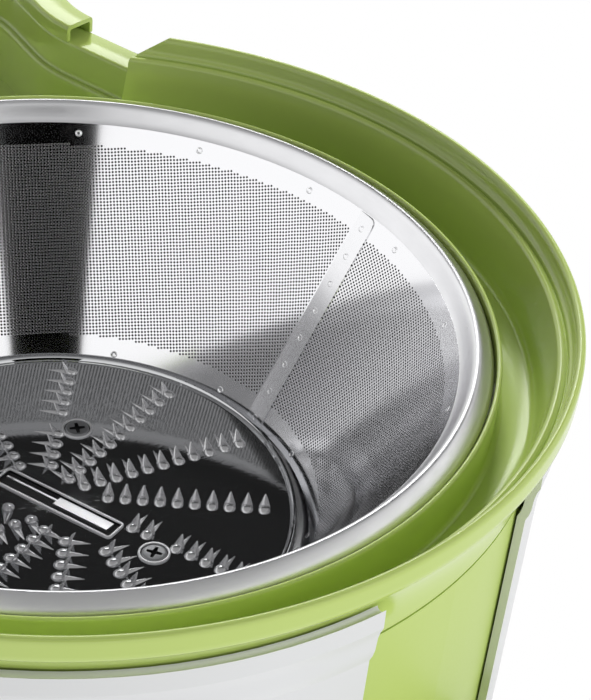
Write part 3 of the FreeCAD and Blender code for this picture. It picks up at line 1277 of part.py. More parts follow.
def controls():
    back = "(bezel_face + seat_gap)"
    body = rod("knob_body", "knob_radius", "knob_depth",
               ("0", f"-({back} + knob_depth)", "knob_height"), "y")
    grip = block("knob_grip_bar",
                 ("-knob_grip_width / 2", f"-({back} + knob_depth + knob_grip)", "knob_height - knob_radius + knob_round"),
                 ("knob_grip_width / 2", f"-({back} + knob_depth / 2)", "knob_height + knob_radius - knob_round"))
    doc.recompute()
    soft = fuse("knob_solid", rounded("knob_body_soft", body, "knob_round"), rounded("knob_grip_soft", grip, "knob_round"))
    socket = rod("knob_socket", "spindle_radius + press_gap", "knob_depth / 2",
                 ("0", f"-({back} + knob_depth / 2)", "knob_height"), "y")
    keep(cut("speed_knob", soft, socket))
    switch_face = f"({liner_radius('knob_height')} - housing_wall - seat_gap)"
    keep(rod("switch_spindle", "spindle_radius", f"{back} + knob_depth / 2 - {switch_face} + switch_depth / 2",
             ("0", f"-({back} + knob_depth / 2)", "knob_height"), "y"))
    case = block("switch_case",
                 ("-switch_width / 2", f"-({switch_face})", "knob_height - switch_height / 2"),
                 ("switch_width / 2", f"-({switch_face} - switch_depth)", "knob_height + switch_height / 2"))
    limit = rod("switch_limit", f"{liner_radius(PLATE_TOP)} - housing_wall - seat_gap", "rim_height")
    way = rod("switch_way", "spindle_radius + pivot_gap", "switch_depth / 2 + seat_gap",
              ("0", f"-({switch_face})", "knob_height"), "y")
    keep(cut("speed_switch", common("switch_trimmed", case, limit), way))
    inner = f"({liner_radius('grommet_height')} - housing_wall)"
    outer = f"({shell_radius('grommet_height')} + 2 * shell_gauge)"
    neck = rod("grommet_neck", "grommet_radius", f"{outer} - {inner}", ("0", inner, "grommet_height"), "y")
    collar = rod("grommet_collar", "grommet_flange", "shell_gauge",
                 ("0", f"{outer} - shell_gauge", "grommet_height"), "y")
    bore = rod("grommet_way", "grommet_bore", "shell_foot_radius", ("0", "shell_foot_radius / 2", "grommet_height"), "y")
    keep(cut("cord_grommet", fuse("grommet_solid", neck, collar), bore))


def clamps():
    """Lid clamps, hanging open from their pins"""
    reach, level = "clamp_pivot_reach", "clamp_pivot_height"
    knuckle = rod("clamp_knuckle_rod", "clamp_knuckle", "clamp_width", ("-clamp_width / 2", reach, level), "x")
    foot = f"({level} - clamp_length)"
    arm = block("clamp_arm",
                ("-clamp_width / 2", f"{reach} - clamp_gauge / 2", foot),
                ("clamp_width / 2", f"{reach} + clamp_gauge / 2", level))
    hook = block("clamp_hook",
                 ("-clamp_width / 2", f"{reach} - clamp_gauge / 2", foot),
                 ("clamp_width / 2", f"{reach} + clamp_gauge / 2 + clamp_lip", f"{foot} + clamp_lip_height"))
    window = block("clamp_window",
                   ("-clamp_window_width / 2", f"{reach} - clamp_gauge", f"{level} - clamp_knuckle * 2 - clamp_window_length"),
                   ("clamp_window_width / 2", f"{reach} + clamp_gauge", f"{level} - clamp_knuckle * 2"))
    bore = rod("clamp_bore", "clamp_pin_radius + pivot_gap", "2 * clamp_width", ("-clamp_width", reach, level), "x")
    rear = cut("rear_clamp", fuse("clamp_solid", knuckle, arm, hook), window, bore)
    keep(rear)
    keep(mirrored("front_clamp", rear))
    length = "clamp_width + 2 * running_gap + 2 * ear_gauge"
    start = "-(clamp_width / 2 + running_gap + ear_gauge)"
    pin = rod("clamp_pin_rear", "clamp_pin_radius", length, (start, reach, level), "x")
    keep(compound("clamp_pins", [pin, mirrored("clamp_pin_front", pin)]))


# Pulp bin beside the machine, under the chute

def bin_outline(inset):
    """Plan of the bin, narrowing to a rounded end"""
    near, far = f"(-(shell_end + bin_gap) - {inset})", f"(-bin_end + {inset})"
    half, end_half = f"(bin_half - {inset})", f"(bin_end_half - {inset} / 2)"
    return (
        (near, half),
        (f"({far} + bin_round)", f"({half} - bin_wall)"),
        (far, end_half),
        (far, f"-{end_half}"),
        (f"({far} + bin_round)", f"-({half} - bin_wall)"),
        (near, f"-{half}"),
    )


def pulp_bin():
    corner = "1.1 * bin_round"
    arcs = {1: (corner, -1), 3: (corner, -1)}
    outside = raised("bin_outside", bin_outline("0"), "0", "bin_top", arcs)
    inside = raised("bin_inside", bin_outline("bin_wall"), "bin_wall", "bin_top", arcs)
    machine = rod("bin_machine_space", f"{shell_radius(SEAM)} + bin_gap", "2 * bin_top", ("0", "0", "-bin_top / 2"))
    wall = rod("bin_machine_wall", f"{shell_radius(SEAM)} + bin_gap + bin_wall", "2 * bin_top",
               ("0", "0", "-bin_top / 2"))
    cavity = cut("bin_cavity", inside, wall)
    reach = "(-bin_end - grip_reach)"
    loop = crosswise("bin_grip_outside", (
        ("-bin_end + bin_wall", "grip_foot"),
        ("-bin_end + bin_wall", "grip_top"),
        (f"{reach} + grip_gauge", "grip_top"),
        (reach, "grip_top - grip_gauge"),
        (reach, "grip_foot + 2 * grip_gauge"),
        (f"{reach} + 2 * grip_gauge", "grip_foot"),
    ), "grip_width")
    gap = crosswise("bin_grip_gap", (
        ("-bin_end", "grip_foot + grip_gauge"),
        ("-bin_end", "grip_top - grip_gauge"),
        (f"{reach} + 1.4 * grip_gauge", "grip_top - grip_gauge"),
        (f"{reach} + grip_gauge", "grip_top - 1.4 * grip_gauge"),
        (f"{reach} + grip_gauge", "grip_foot + 2.4 * grip_gauge"),
        (f"{reach} + 2.4 * grip_gauge", "grip_foot + grip_gauge"),
    ), "grip_width")
    grip = cut("bin_grip", loop, gap)
    keep(cut("pulp_bin", fuse("bin_with_grip", outside, grip), machine, cavity))


strainer_rim()
strainer_mesh()
basket_floor_ring()
grater_disc()
core_knife()
grater_screws()
basket_hub()
collector_ring()
juice_vessel()
vessel_gasket()
side_shells()
motor_housing()
base_plate()
base_fittings()
motor_shaft()
rotor()
stator()
bearings_and_brackets()
controls()
clamps()
pulp_bin()
doc.recompute()

# Every object has to be sound before anything is written
faults = [thing.Label for thing in doc.Objects if "Invalid" in thing.State or "Error" in thing.State]
faults += [piece.Label for piece in PARTS if piece.Shape.isNull() or not piece.Shape.isValid()]
if faults:
    raise RuntimeError("unsound objects: " + ", ".join(faults))
os.makedirs("parts", exist_ok=True)
for piece in PARTS:
    piece.Shape.exportStep(f"parts/{piece.Label}.step")
    print(f"{piece.Label}: {len(piece.Shape.Solids)} solids, {piece.Shape.Volume:.0f} mm3")
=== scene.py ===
"""Centrifugal juicer with its lid off: looks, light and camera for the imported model."""
import math

import bmesh
import bpy
from mathutils import Matrix, Vector


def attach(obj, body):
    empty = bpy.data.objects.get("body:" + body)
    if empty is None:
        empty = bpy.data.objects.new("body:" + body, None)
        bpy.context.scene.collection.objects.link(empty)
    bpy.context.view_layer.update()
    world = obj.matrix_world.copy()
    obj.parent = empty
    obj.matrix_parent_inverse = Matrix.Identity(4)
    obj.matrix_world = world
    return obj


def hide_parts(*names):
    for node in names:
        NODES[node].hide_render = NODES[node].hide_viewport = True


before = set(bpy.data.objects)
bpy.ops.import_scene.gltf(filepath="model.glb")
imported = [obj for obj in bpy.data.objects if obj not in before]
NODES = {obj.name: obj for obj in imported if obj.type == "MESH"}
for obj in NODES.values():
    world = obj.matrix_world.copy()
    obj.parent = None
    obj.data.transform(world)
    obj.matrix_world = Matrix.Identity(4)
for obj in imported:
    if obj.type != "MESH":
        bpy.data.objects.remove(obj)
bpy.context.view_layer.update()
MM = 0.001
scene = bpy.context.scene
scene.view_settings.view_transform = "Standard"

# Sizes are in millimetres. RIM_HEIGHT is the basket rim's height over the table; other heights start from it.
RIM_HEIGHT = 210.0
DISC_DEPTH = 43.0
DISC_BASE = RIM_HEIGHT - DISC_DEPTH
DISC_RADIUS = 45.6

# Turn of the disc's slot and rows of teeth, and of the strainer's seam
PHASE = math.radians(5.0)
SEAM = math.radians(73.2)

# Radius and height of the strainer's inner face at its top and at its foot
MESH_TOP = (71.8, -1.5)
MESH_FOOT = (47.0, -44.0)

# The strainer's holes: pitch, lowest and highest row, turn of the grid, width kept plain beside the seam
HOLE_PITCH = 0.68
HOLE_ROWS = (-39.4, -5.3)
GRID_TURN = math.radians(33.3)
SEAM_PLAIN = 4.9

# Sockets of a Mix node that blends colours
COLOUR_A, COLOUR_B, COLOUR_OUT = 6, 7, 2


# Nodes and colours

def linear(code):
    """sRGB hex colour as linear red, green, blue and alpha"""
    parts = [int(code[start:start + 2], 16) / 255 for start in (0, 2, 4)]
    return [part / 12.92 if part <= 0.04045 else ((part + 0.055) / 1.055) ** 2.4 for part in parts] + [1.0]


def add(tree, kind, inputs=None, **settings):
    """Node with its settings; an input given as a socket is linked and any other is set"""
    node = tree.nodes.new("ShaderNode" + kind)
    for name, value in settings.items():
        setattr(node, name, value)
    for key, value in (inputs or {}).items():
        if isinstance(value, bpy.types.NodeSocket):
            tree.links.new(value, node.inputs[key])
        else:
            node.inputs[key].default_value = value
    return node


def finish(name, **sockets):
    """Material with a Principled shader; returns it with its tree, the shader and object coordinates"""
    material = bpy.data.materials.new(name)
    material.use_nodes = True
    tree = material.node_tree
    shader = tree.nodes["Principled BSDF"]
    for key, value in sockets.items():
        shader.inputs[key.replace("_", " ")].default_value = value
    return material, tree, shader, add(tree, "TexCoord").outputs["Object"]


def link(tree, source, shader, key):
    tree.links.new(source, shader.inputs[key])


def moulded(name, code, pale, roughness, grain_mm, depth):
    """Moulded plastic: two close tones in slow clouds, a fine grain in gloss and relief"""
    material, tree, shader, place = finish(name, IOR=1.53)
    cloud = add(tree, "TexNoise", {"Vector": place, "Scale": 1 / (45 * MM), "Detail": 3.0})
    tone = add(tree, "Mix", {"Factor": cloud.outputs["Fac"], COLOUR_A: linear(code), COLOUR_B: linear(pale)},
               data_type="RGBA")
    link(tree, tone.outputs[COLOUR_OUT], shader, "Base Color")
    grain = add(tree, "TexNoise", {"Vector": place, "Scale": 1 / (grain_mm * MM), "Detail": 2.0})
    gloss = add(tree, "MapRange", {"Value": grain.outputs["Fac"], "To Min": roughness - 0.05,
                                   "To Max": roughness + 0.06})
    link(tree, gloss.outputs["Result"], shader, "Roughness")
    relief = add(tree, "Bump", {"Height": grain.outputs["Fac"], "Strength": depth, "Distance": 0.05 * MM})
    link(tree, relief.outputs["Normal"], shader, "Normal")
    return material


def polished(name, code, roughness, scratch_mm, depth):
    """Sheet or turned metal: fine scratches that run round the motor axis"""
    material, tree, shader, place = finish(name, Metallic=1.0)
    parts = add(tree, "SeparateXYZ", {0: place})
    angle = add(tree, "Math", {0: parts.outputs["Y"], 1: parts.outputs["X"]}, operation="ARCTAN2")
    along = add(tree, "Math", {0: angle.outputs[0], 1: 20 * MM}, operation="MULTIPLY")
    radius = add(tree, "VectorMath", {0: place}, operation="LENGTH")
    round_way = add(tree, "CombineXYZ", {"X": along.outputs[0], "Y": radius.outputs["Value"],
                                         "Z": parts.outputs["Z"]})
    scratch = add(tree, "TexNoise", {"Vector": round_way.outputs[0], "Scale": 1 / (scratch_mm * MM),
                                     "Detail": 3.0})
    cloud = add(tree, "TexNoise", {"Vector": place, "Scale": 1 / (18 * MM), "Detail": 2.0})
    shade = add(tree, "MapRange", {"Value": cloud.outputs["Fac"], "To Min": 0.92, "To Max": 1.06})
    tone = add(tree, "VectorMath", {0: linear(code)[:3], "Scale": shade.outputs["Result"]}, operation="SCALE")
    link(tree, tone.outputs[0], shader, "Base Color")
    gloss = add(tree, "MapRange", {"Value": scratch.outputs["Fac"], "To Min": roughness * 0.75,
                                   "To Max": roughness * 1.25})
    link(tree, gloss.outputs["Result"], shader, "Roughness")
    relief = add(tree, "Bump", {"Height": scratch.outputs["Fac"], "Strength": depth, "Distance": 0.02 * MM})
    link(tree, relief.outputs["Normal"], shader, "Normal")
    return material


def perforated(name, code, hole_code):
    """Etched stainless sheet: a square grid of fine holes, laid out flat before the cone is rolled"""
    material, tree, shader, place = finish(name, Metallic=1.0)

    def work_out(kind, first, second=0.0):
        return add(tree, "Math", {0: first, 1: second}, operation=kind).outputs[0]

    def length(pair):
        squares = [work_out("MULTIPLY", part, part) for part in pair]
        return work_out("SQRT", work_out("ADD", *squares))

    slant = math.hypot(MESH_TOP[0] - MESH_FOOT[0], MESH_TOP[1] - MESH_FOOT[1])
    spread = (MESH_TOP[0] - MESH_FOOT[0]) / slant
    pitch = HOLE_PITCH * MM
    turned = add(tree, "VectorRotate", {"Vector": place, "Angle": -SEAM}, rotation_type="Z_AXIS").outputs[0]
    parts = add(tree, "SeparateXYZ", {0: turned}).outputs
    angle = work_out("ARCTAN2", parts["Y"], parts["X"])
    flat = work_out("MULTIPLY", work_out("ABSOLUTE", angle), spread)
    level = add(tree, "VectorMath", {0: turned, 1: (1, 1, 0)}, operation="MULTIPLY").outputs[0]
    radius = add(tree, "VectorMath", {0: level}, operation="LENGTH").outputs["Value"]
    reach = work_out("DIVIDE", radius, spread * pitch)
    bend = work_out("SUBTRACT", flat, GRID_TURN)
    cells = [work_out("MULTIPLY", reach, work_out(kind, bend)) for kind in ("COSINE", "SINE")]
    middles = [work_out("ADD", work_out("FLOOR", cell), 0.5) for cell in cells]
    offsets = [work_out("SUBTRACT", cell, middle) for cell, middle in zip(cells, middles)]
    hole = add(tree, "MapRange", {"Value": length(offsets), "From Min": 0.25, "From Max": 0.35,
                                  "To Min": 1.0, "To Max": 0.0},
               interpolation_type="SMOOTHSTEP").outputs["Result"]
    low, high = (MESH_FOOT[0] + (height - MESH_FOOT[1]) * spread / math.sqrt(1 - spread ** 2)
                 for height in HOLE_ROWS)
    inside = add(tree, "Math", {0: length(middles), 1: (low + high) / 2 * MM / (spread * pitch),
                                2: (high - low) / 2 * MM / (spread * pitch)}, operation="COMPARE").outputs[0]
    lap = add(tree, "MapRange", {"Value": work_out("MULTIPLY", angle, radius), "From Min": SEAM_PLAIN * MM,
                                 "From Max": (SEAM_PLAIN + 0.01) * MM}).outputs["Result"]
    other = work_out("LESS_THAN", angle)
    shown = work_out("MULTIPLY", work_out("MULTIPLY", hole, inside), work_out("MAXIMUM", lap, other))
    tone = add(tree, "Mix", {"Factor": shown, COLOUR_A: linear(code), COLOUR_B: linear(hole_code)},
               data_type="RGBA")
    link(tree, tone.outputs[COLOUR_OUT], shader, "Base Color")
    gloss = add(tree, "MapRange", {"Value": shown, "To Min": 0.1, "To Max": 0.9})
    link(tree, gloss.outputs["Result"], shader, "Roughness")
    relief = add(tree, "Bump", {"Height": shown, "Strength": 0.4, "Distance": 0.06 * MM}, invert=True)
    link(tree, relief.outputs["Normal"], shader, "Normal")
    return material


# Plastics and castings: name, tone, second tone, roughness, grain in millimetres, relief
LIME = moulded("Lime ABS, glossy moulded", "b6cb6b", "bcd072", 0.12, 0.6, 0.02)
SATIN = moulded("Lime ABS, satin moulded", "b6cb6b", "bcd072", 0.42, 0.5, 0.05)
GREY = moulded("Light grey ABS, satin moulded", "d6d7d8", "dedfe0", 0.38, 0.4, 0.12)
DARK = moulded("Dark grey ABS, textured", "2b2c2e", "35373a", 0.5, 0.5, 0.3)
WHITE = moulded("Glass-filled nylon, natural white", "d9d8d0", "e2e1da", 0.45, 0.7, 0.15)
SMOKE = moulded("Smoke grey ABS, smooth", "54575a", "5d6063", 0.3, 0.6, 0.06)
RUBBER = moulded("Black rubber, matt", "1a1a1b", "222223", 0.75, 0.5, 0.4)
CARBON = moulded("Pressed carbon, dull", "161617", "232325", 0.6, 0.3, 0.4)
# Near-black painted shade, laid in the knife slot, the screws' dimples and their cross recesses
PAINTED_SHADE = moulded("Dark recess, painted shade", "0b0b0c", "121213", 0.7, 0.5, 0.1)
CAST = moulded("Die-cast aluminium, as cast", "9c9d9f", "a7a8aa", 0.45, 0.6, 0.25)

# Metals: name, tone, roughness, scratch width in millimetres, relief
COPPER = polished("Enamelled copper, varnished", "b56a3c", 0.3, 0.5, 0.4)
RIM_STEEL = polished("Rolled stainless sheet, satin", "e6e6e8", 0.32, 0.8, 0.02)
PLAIN = polished("Stainless sheet, plain", "eaeaec", 0.16, 0.8, 0.02)
MIRROR = polished("Polished stainless disc, dark mirror", "c6c7c9", 0.04, 0.35, 0.16)
TOOTH = polished("Pressed stainless, satin", "dcdcde", 0.24, 0.6, 0.05)
EDGE = polished("Folded stainless edge, bright", "f2f2f4", 0.4, 0.6, 0.02)
SCREW = polished("Stainless screw, turned", "97989a", 0.4, 0.4, 0.1)
STEEL = polished("Plain steel, zinc plated", "b4b5b8", 0.3, 0.3, 0.15)
IRON = polished("Electrical steel, stacked", "6d6e70", 0.45, 0.5, 0.3)
SHEET = perforated("Etched stainless sheet, perforated", "eaeaec", "14150f")

FINISHES = {
    LIME: ("collector_ring",),
    SATIN: ("juice_vessel", "motor_housing"),
    GREY: ("front_shell", "rear_shell", "front_clamp", "rear_clamp"),
    DARK: ("base_plate", "speed_switch", "brush_holders", "speed_knob"),
    WHITE: ("basket_hub", "drive_dog", "cooling_fan"),
    SMOKE: ("pulp_bin",),
    RUBBER: ("rubber_foot", "motor_dampers", "shaft_seal", "cord_grommet", "vessel_gasket"),
    CARBON: ("carbon_brushes",),
    COPPER: ("field_coils", "armature_windings", "commutator"),
    RIM_STEEL: ("strainer_rim", "basket_floor_ring", "core_knife"),
    SHEET: ("strainer_mesh",),
    MIRROR: ("grater_disc",),
    STEEL: ("grater_screws", "base_screws", "motor_bolts", "clamp_pins", "motor_shaft", "brush_springs",
            "upper_bearing", "lower_bearing", "switch_spindle"),
    IRON: ("stator_core", "armature_core"),
    CAST: ("upper_bracket", "lower_bracket"),
}
for material, names in FINISHES.items():
    for name in names:
        NODES[name].data.materials.clear()
        NODES[name].data.materials.append(material)


# Meshes

def piece(name, points, faces, material, body, crease, bevel=0.0):
    """Mesh from points in millimetres, smooth up to the crease angle, carried by a body"""
    mesh = bpy.data.meshes.new(name)
    mesh.from_pydata([Vector(point) * MM for point in points], [], faces)
    form = bmesh.new()
    form.from_mesh(mesh)
    bmesh.ops.remove_doubles(form, verts=form.verts, dist=0.002 * MM)
    bmesh.ops.recalc_face_normals(form, faces=form.faces)
    form.to_mesh(mesh)
    form.free()
    mesh.shade_smooth()
    mesh.set_sharp_from_angle(angle=math.radians(crease))
    mesh.materials.append(material)
    thing = bpy.data.objects.new(name, mesh)
    scene.collection.objects.link(thing)
    if bevel:
        edge = thing.modifiers.new("edges", "BEVEL")
        edge.width = bevel * MM
        edge.segments = 3
        edge.limit_method = "ANGLE"
        edge.angle_limit = math.radians(40)
        edge.harden_normals = True
    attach(thing, body)
    return thing


def bands(rows, count, closed=False):
    """Faces between neighbouring rows of points, each row a loop of so many points"""
    faces = []
    for row in range(rows if closed else rows - 1):
        here = row * count
        after = (row + 1) % rows * count
        for spot in range(count):
            ahead = (spot + 1) % count
            faces.append((here + spot, here + ahead, after + ahead, after + spot))
    return faces


def walls(*rows):
    """Points and faces between loops of points, each loop as long as the first"""
    return [spot for row in rows for spot in row], bands(len(rows), len(rows[0]))


def capped(form, count):
    """The same form with a face over its last loop of points"""
    points, faces = form
    return points, faces + [tuple(range(len(points) - count, len(points)))]


def box(points):
    """Points and faces of a block from the four corners at one level and the four at the other"""
    return points, [(0, 1, 2, 3), (4, 5, 6, 7)] + bands(2, 4)


def lathe(section, steps, reach=None):
    """Points and faces of a section turned about the motor axis, all round or to reach on both sides"""
    points = []
    count = len(section)
    rows = steps if reach is None else steps + 1
    for row in range(rows):
        for radius, height in section:
            if reach is None:
                turn = 2 * math.pi * row / steps
            else:
                turn = reach(radius, height) * (2 * row / steps - 1)
            points.append((radius * math.cos(turn), radius * math.sin(turn), RIM_HEIGHT + height))
    faces = bands(rows, count, closed=reach is None)
    if reach is not None:
        faces.append(tuple(range(count)))
        faces.append(tuple(steps * count + spot for spot in range(count)))
    return points, faces


def sweep(path, section, closed=False):
    """Points and faces of a section of (sideways, height) pairs along a level path"""
    points = []
    last = len(path)
    count = len(section)
    for spot, (x, y) in enumerate(path):
        before = path[(spot - 1) % last] if closed or spot else path[0]
        after = path[(spot + 1) % last] if closed or spot < last - 1 else path[-1]
        way = Vector((after[0] - before[0], after[1] - before[1])).normalized()
        for side, height in section:
            points.append((x - way.y * side, y + way.x * side, height))
    faces = bands(last, count, closed)
    if not closed:
        faces.append(tuple(range(count)))
        faces.append(tuple((last - 1) * count + corner for corner in range(count)))
    return points, faces


def arc(middle, radius, start, end, steps):
    """Points of an arc in a section, angles in degrees"""
    turns = [math.radians(start + (end - start) * step / steps) for step in range(steps + 1)]
    return [(middle[0] + radius * math.cos(turn), middle[1] + radius * math.sin(turn)) for turn in turns]


def ring_round(x, y, radius, count=32):
    """Points of a level circle"""
    return [(x + radius * math.cos(2 * math.pi * n / count), y + radius * math.sin(2 * math.pi * n / count))
            for n in range(count)]


def joined(*parts):
    """Several sets of points and faces as one"""
    points, faces = [], []
    for more, sides in parts:
        faces += [tuple(len(points) + corner for corner in side) for side in sides]
        points += list(more)
    return points, faces


def read_out(form):
    """Points and faces of a working mesh, which is then freed"""
    form.verts.index_update()
    points = [tuple(vert.co) for vert in form.verts]
    faces = [tuple(vert.index for vert in face.verts) for face in form.faces]
    form.free()
    return points, faces


def filled(loops, height):
    """Points and faces of a flat sheet at a height, inside its first loop and outside the others"""
    form = bmesh.new()
    for loop in loops:
        spots = [form.verts.new((x, y, height)) for x, y in loop]
        for start, end in zip(spots, spots[1:] + spots[:1]):
            form.edges.new((start, end))
    bmesh.ops.triangle_fill(form, use_beauty=True, use_dissolve=False, edges=form.edges)
    return read_out(form)


def finer(sheet):
    """The same sheet with its long edges cut into short ones, so that it can be dished"""
    points, faces = sheet
    form = bmesh.new()
    corners = [form.verts.new(point) for point in points]
    for face in faces:
        form.faces.new([corners[index] for index in face])
    for _ in range(2):
        long_edges = [edge for edge in form.edges if edge.calc_length() > 1.5]
        bmesh.ops.subdivide_edges(form, edges=long_edges, cuts=3, use_grid_fill=True)
        bmesh.ops.triangulate(form, faces=form.faces[:])
    return read_out(form)


# Bowl ring and chute

ROUND_STEPS = 180
UNDERSIDE, CHANNEL = -10.0, -8.0
COLLAR_BORE, COLLAR_FOOT = 75.4, 80.4
LIP = 5.3
BEAD_SLOPE = 1.2
RING_END = -48.6
RING = ([(COLLAR_FOOT, UNDERSIDE), (86.7, UNDERSIDE), (87.3, -9.5)]
        + arc((111.2, -9.0), 23.9, 180.5, 147.0, 8)
        + [(91.9, 4.4), (92.6, 4.7), (92.95, 5.3), (93.0, 6.2), (93.0, 8.2)]
        + arc((92.2, 8.6), 0.8, 0, 170, 6)
        + [(91.25, 8.0), (91.15, 7.0), (91.05, 6.2), (90.85, 5.85), (90.65, 5.75), (90.5, 5.5), (90.4, 5.0)]
        + [(90.3, 4.75), (90.15, 4.75), (90.0, 5.0)]
        + arc((89.3, 4.45), 0.85, 40, 180, 7)
        + [(88.3, 3.0), (86.7, -5.6), (86.4, -6.6), (85.9, -7.3), (85.2, -7.75), (83.0, CHANNEL)]
        + [(COLLAR_FOOT, CHANNEL)])
COLLAR = ([(COLLAR_BORE, UNDERSIDE), (COLLAR_FOOT, UNDERSIDE), (COLLAR_FOOT, CHANNEL)]
          + [(79.9, -7.9), (79.55, -7.6), (79.4, -7.1)]
          + arc((78.9, 0.2), 0.5, 0, 180, 8)
          + [(78.4, CHANNEL), (COLLAR_BORE, CHANNEL)])

CHUTE_TOP, CHUTE_CREST, CHUTE_FLOOR, CHUTE_UNDER = 1.8, -6.0, -20.0, -22.2
CHUTE_HALF, MOUTH_HALF = 75.0, 84.0
CHUTE_BENDS = [(RING_END, CHUTE_HALF), (-72.0, CHUTE_HALF), (-94.0, MOUTH_HALF), (-116.0, MOUTH_HALF)]
BEND_EASE, BEND_STEPS = 6, 6
BLOCK_TOP, BLOCK_END = 5.4, -66.8
FLOOR_RADIUS, RISER_INSIDE = 79.0, 78.2
RISER_HALF, RISER_STEPS = 0.92, 32
CHEEK_START, CHEEK_WIDTH = 63.0, 2.2


def ring_reach(radius, height):
    """Angle where the ring stops beside the chute; the bead's end slopes back"""
    stop = RING_END + max(0.0, height - LIP) * BEAD_SLOPE
    return math.acos(stop / radius)


def chute_path(side):
    """Foot of one chute wall's inner face, from the ring to the mouth, its bends eased"""
    path = [CHUTE_BENDS[0]]
    for before, bend, after in zip(CHUTE_BENDS, CHUTE_BENDS[1:], CHUTE_BENDS[2:]):
        into = Vector(bend) + (Vector(before) - Vector(bend)).normalized() * BEND_EASE
        out = Vector(bend) + (Vector(after) - Vector(bend)).normalized() * BEND_EASE
        for step in range(BEND_STEPS + 1):
            share = step / BEND_STEPS
            spot = into.lerp(Vector(bend), share).lerp(Vector(bend).lerp(out, share), share)
            path.append((spot.x, spot.y))
    path.append(CHUTE_BENDS[-1])
    return [(x, side * y) for x, y in path]


def wall_section():
    """Chute wall as (outwards, height) pairs: a rounded crest on its inside and a level ledge on top"""
    top, crest, foot = (RIM_HEIGHT + height for height in (CHUTE_TOP, CHUTE_CREST, CHUTE_UNDER))
    return ([(-1.6, foot), (-1.6, crest - 1.6)]
            + arc((-0.85, crest - 0.75), 0.75, 170, 50, 4)
            + [(-0.1, crest + 0.1), (0.0, crest + 0.8)]
            + [(0.0, top - 0.7), (0.1, top - 0.3), (0.35, top - 0.08), (0.7, top)]
            + [(6.8, top), (7.2, top - 0.15), (7.4, top - 0.6), (7.4, top - 2.4)]
            + [(3.2, top - 2.4), (3.2, foot)])


def block_section():
    """Hollow block on the ledge as (outwards, height) pairs"""
    foot = RIM_HEIGHT + CHUTE_TOP - 0.2
    high = RIM_HEIGHT + BLOCK_TOP
    return [(0.0, foot), (0.0, high - 0.9), (0.15, high - 0.4), (0.5, high - 0.1), (0.9, high),
            (6.9, high), (7.3, high - 0.1), (7.65, high - 0.4), (7.8, high - 0.9), (7.8, foot),
            (6.8, foot), (6.8, high - 1.3), (6.5, high - 1.1), (1.3, high - 1.1), (1.0, high - 1.3),
            (1.0, foot)]


def chute_floor(turns):
    """Slab between the two walls, its inner edge round the basket"""
    outline = chute_path(1) + chute_path(-1)[::-1]
    outline += [(FLOOR_RADIUS * math.cos(turn), FLOOR_RADIUS * math.sin(turn)) for turn in reversed(turns)]
    count = len(outline)
    points, faces = walls(*[[(x, y, RIM_HEIGHT + height) for x, y in outline]
                            for height in (CHUTE_FLOOR, CHUTE_UNDER)])
    return points, faces + [tuple(range(count)), tuple(range(count, 2 * count))]


def chute_riser(turns):
    """Step from the channel down to the chute's floor: its top, its outer and its inner side"""
    level = [(radius * math.cos(turn), radius * math.sin(turn))
             for radius in (COLLAR_FOOT, RISER_INSIDE) for turn in turns]
    points = [(x, y, RIM_HEIGHT + height) for height in (CHANNEL, CHUTE_UNDER) for x, y in level]
    count = len(turns)
    faces = []
    for spot in range(count - 1):
        for near, far in ((0, count), (0, 2 * count), (count, 3 * count)):
            faces.append((near + spot, near + spot + 1, far + spot + 1, far + spot))
    return points, faces


def chute():
    parts = []
    for side in (1, -1):
        path = chute_path(side)
        start = next(spot for spot, place in enumerate(path) if place[0] < BLOCK_END)
        block_path = [(BLOCK_END, side * CHUTE_HALF)] + path[start:]
        for way, section in ((path, wall_section()), (block_path, block_section())):
            parts.append(sweep(way, [(-side * across, height) for across, height in section]))
    turns = [math.pi - RISER_HALF + 2 * RISER_HALF * step / RISER_STEPS for step in range(RISER_STEPS + 1)]
    return joined(*parts, chute_floor(turns), chute_riser(turns))


def cheeks():
    """Walls that close the corners between the riser and the chute's walls"""
    parts = []
    for side in (1, -1):
        near, far = side * CHEEK_START, side * RISER_INSIDE
        inner = RING_END + CHEEK_WIDTH
        corners = [(RING_END, near), (RING_END, far), (inner, far), (inner, near)]
        parts.append(box([(x, y, RIM_HEIGHT + height) for height in (CHUTE_UNDER, CHANNEL)
                          for x, y in corners]))
    return joined(*parts)


def make_bowl():
    bowl_ring = joined(lathe(RING, ROUND_STEPS, ring_reach), lathe(COLLAR, ROUND_STEPS))
    ring = piece("bowl_ring_shell", *bowl_ring, LIME, "bowl", crease=45, bevel=0.35)
    spout = piece("pulp_chute_shell", *joined(chute(), cheeks()), LIME, "bowl", crease=40, bevel=0.25)
    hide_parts("collector_ring")


# Basket

RIM_STEPS = 240
RIM = [(71.8, -1.5), (72.15, -1.15), (72.6, -0.5), (73.0, 0.1), (73.4, 0.75), (73.72, 1.27), (74.02, 1.7),
       (74.36, 2.02), (74.75, 2.18), (75.15, 2.12), (75.6, 1.88), (76.1, 1.53), (76.6, 1.14), (77.0, 0.8),
       (77.32, 0.48), (77.58, 0.14), (77.78, -0.24), (77.92, -0.62), (78.0, -0.95), (77.95, -1.2),
       (77.75, -1.42), (77.4, -1.5)]


def make_rim():
    rim = piece("rolled_rim", *lathe(RIM, RIM_STEPS), RIM_STEEL, "basket", crease=60)
    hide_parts("strainer_rim")


def on_cone(turn, height, lift=0.0):
    """Point on the strainer's inner face, lifted off it towards the axis"""
    share = (height - MESH_FOOT[1]) / (MESH_TOP[1] - MESH_FOOT[1])
    radius = MESH_FOOT[0] + share * (MESH_TOP[0] - MESH_FOOT[0]) - lift
    return radius * math.cos(turn), radius * math.sin(turn), RIM_HEIGHT + height


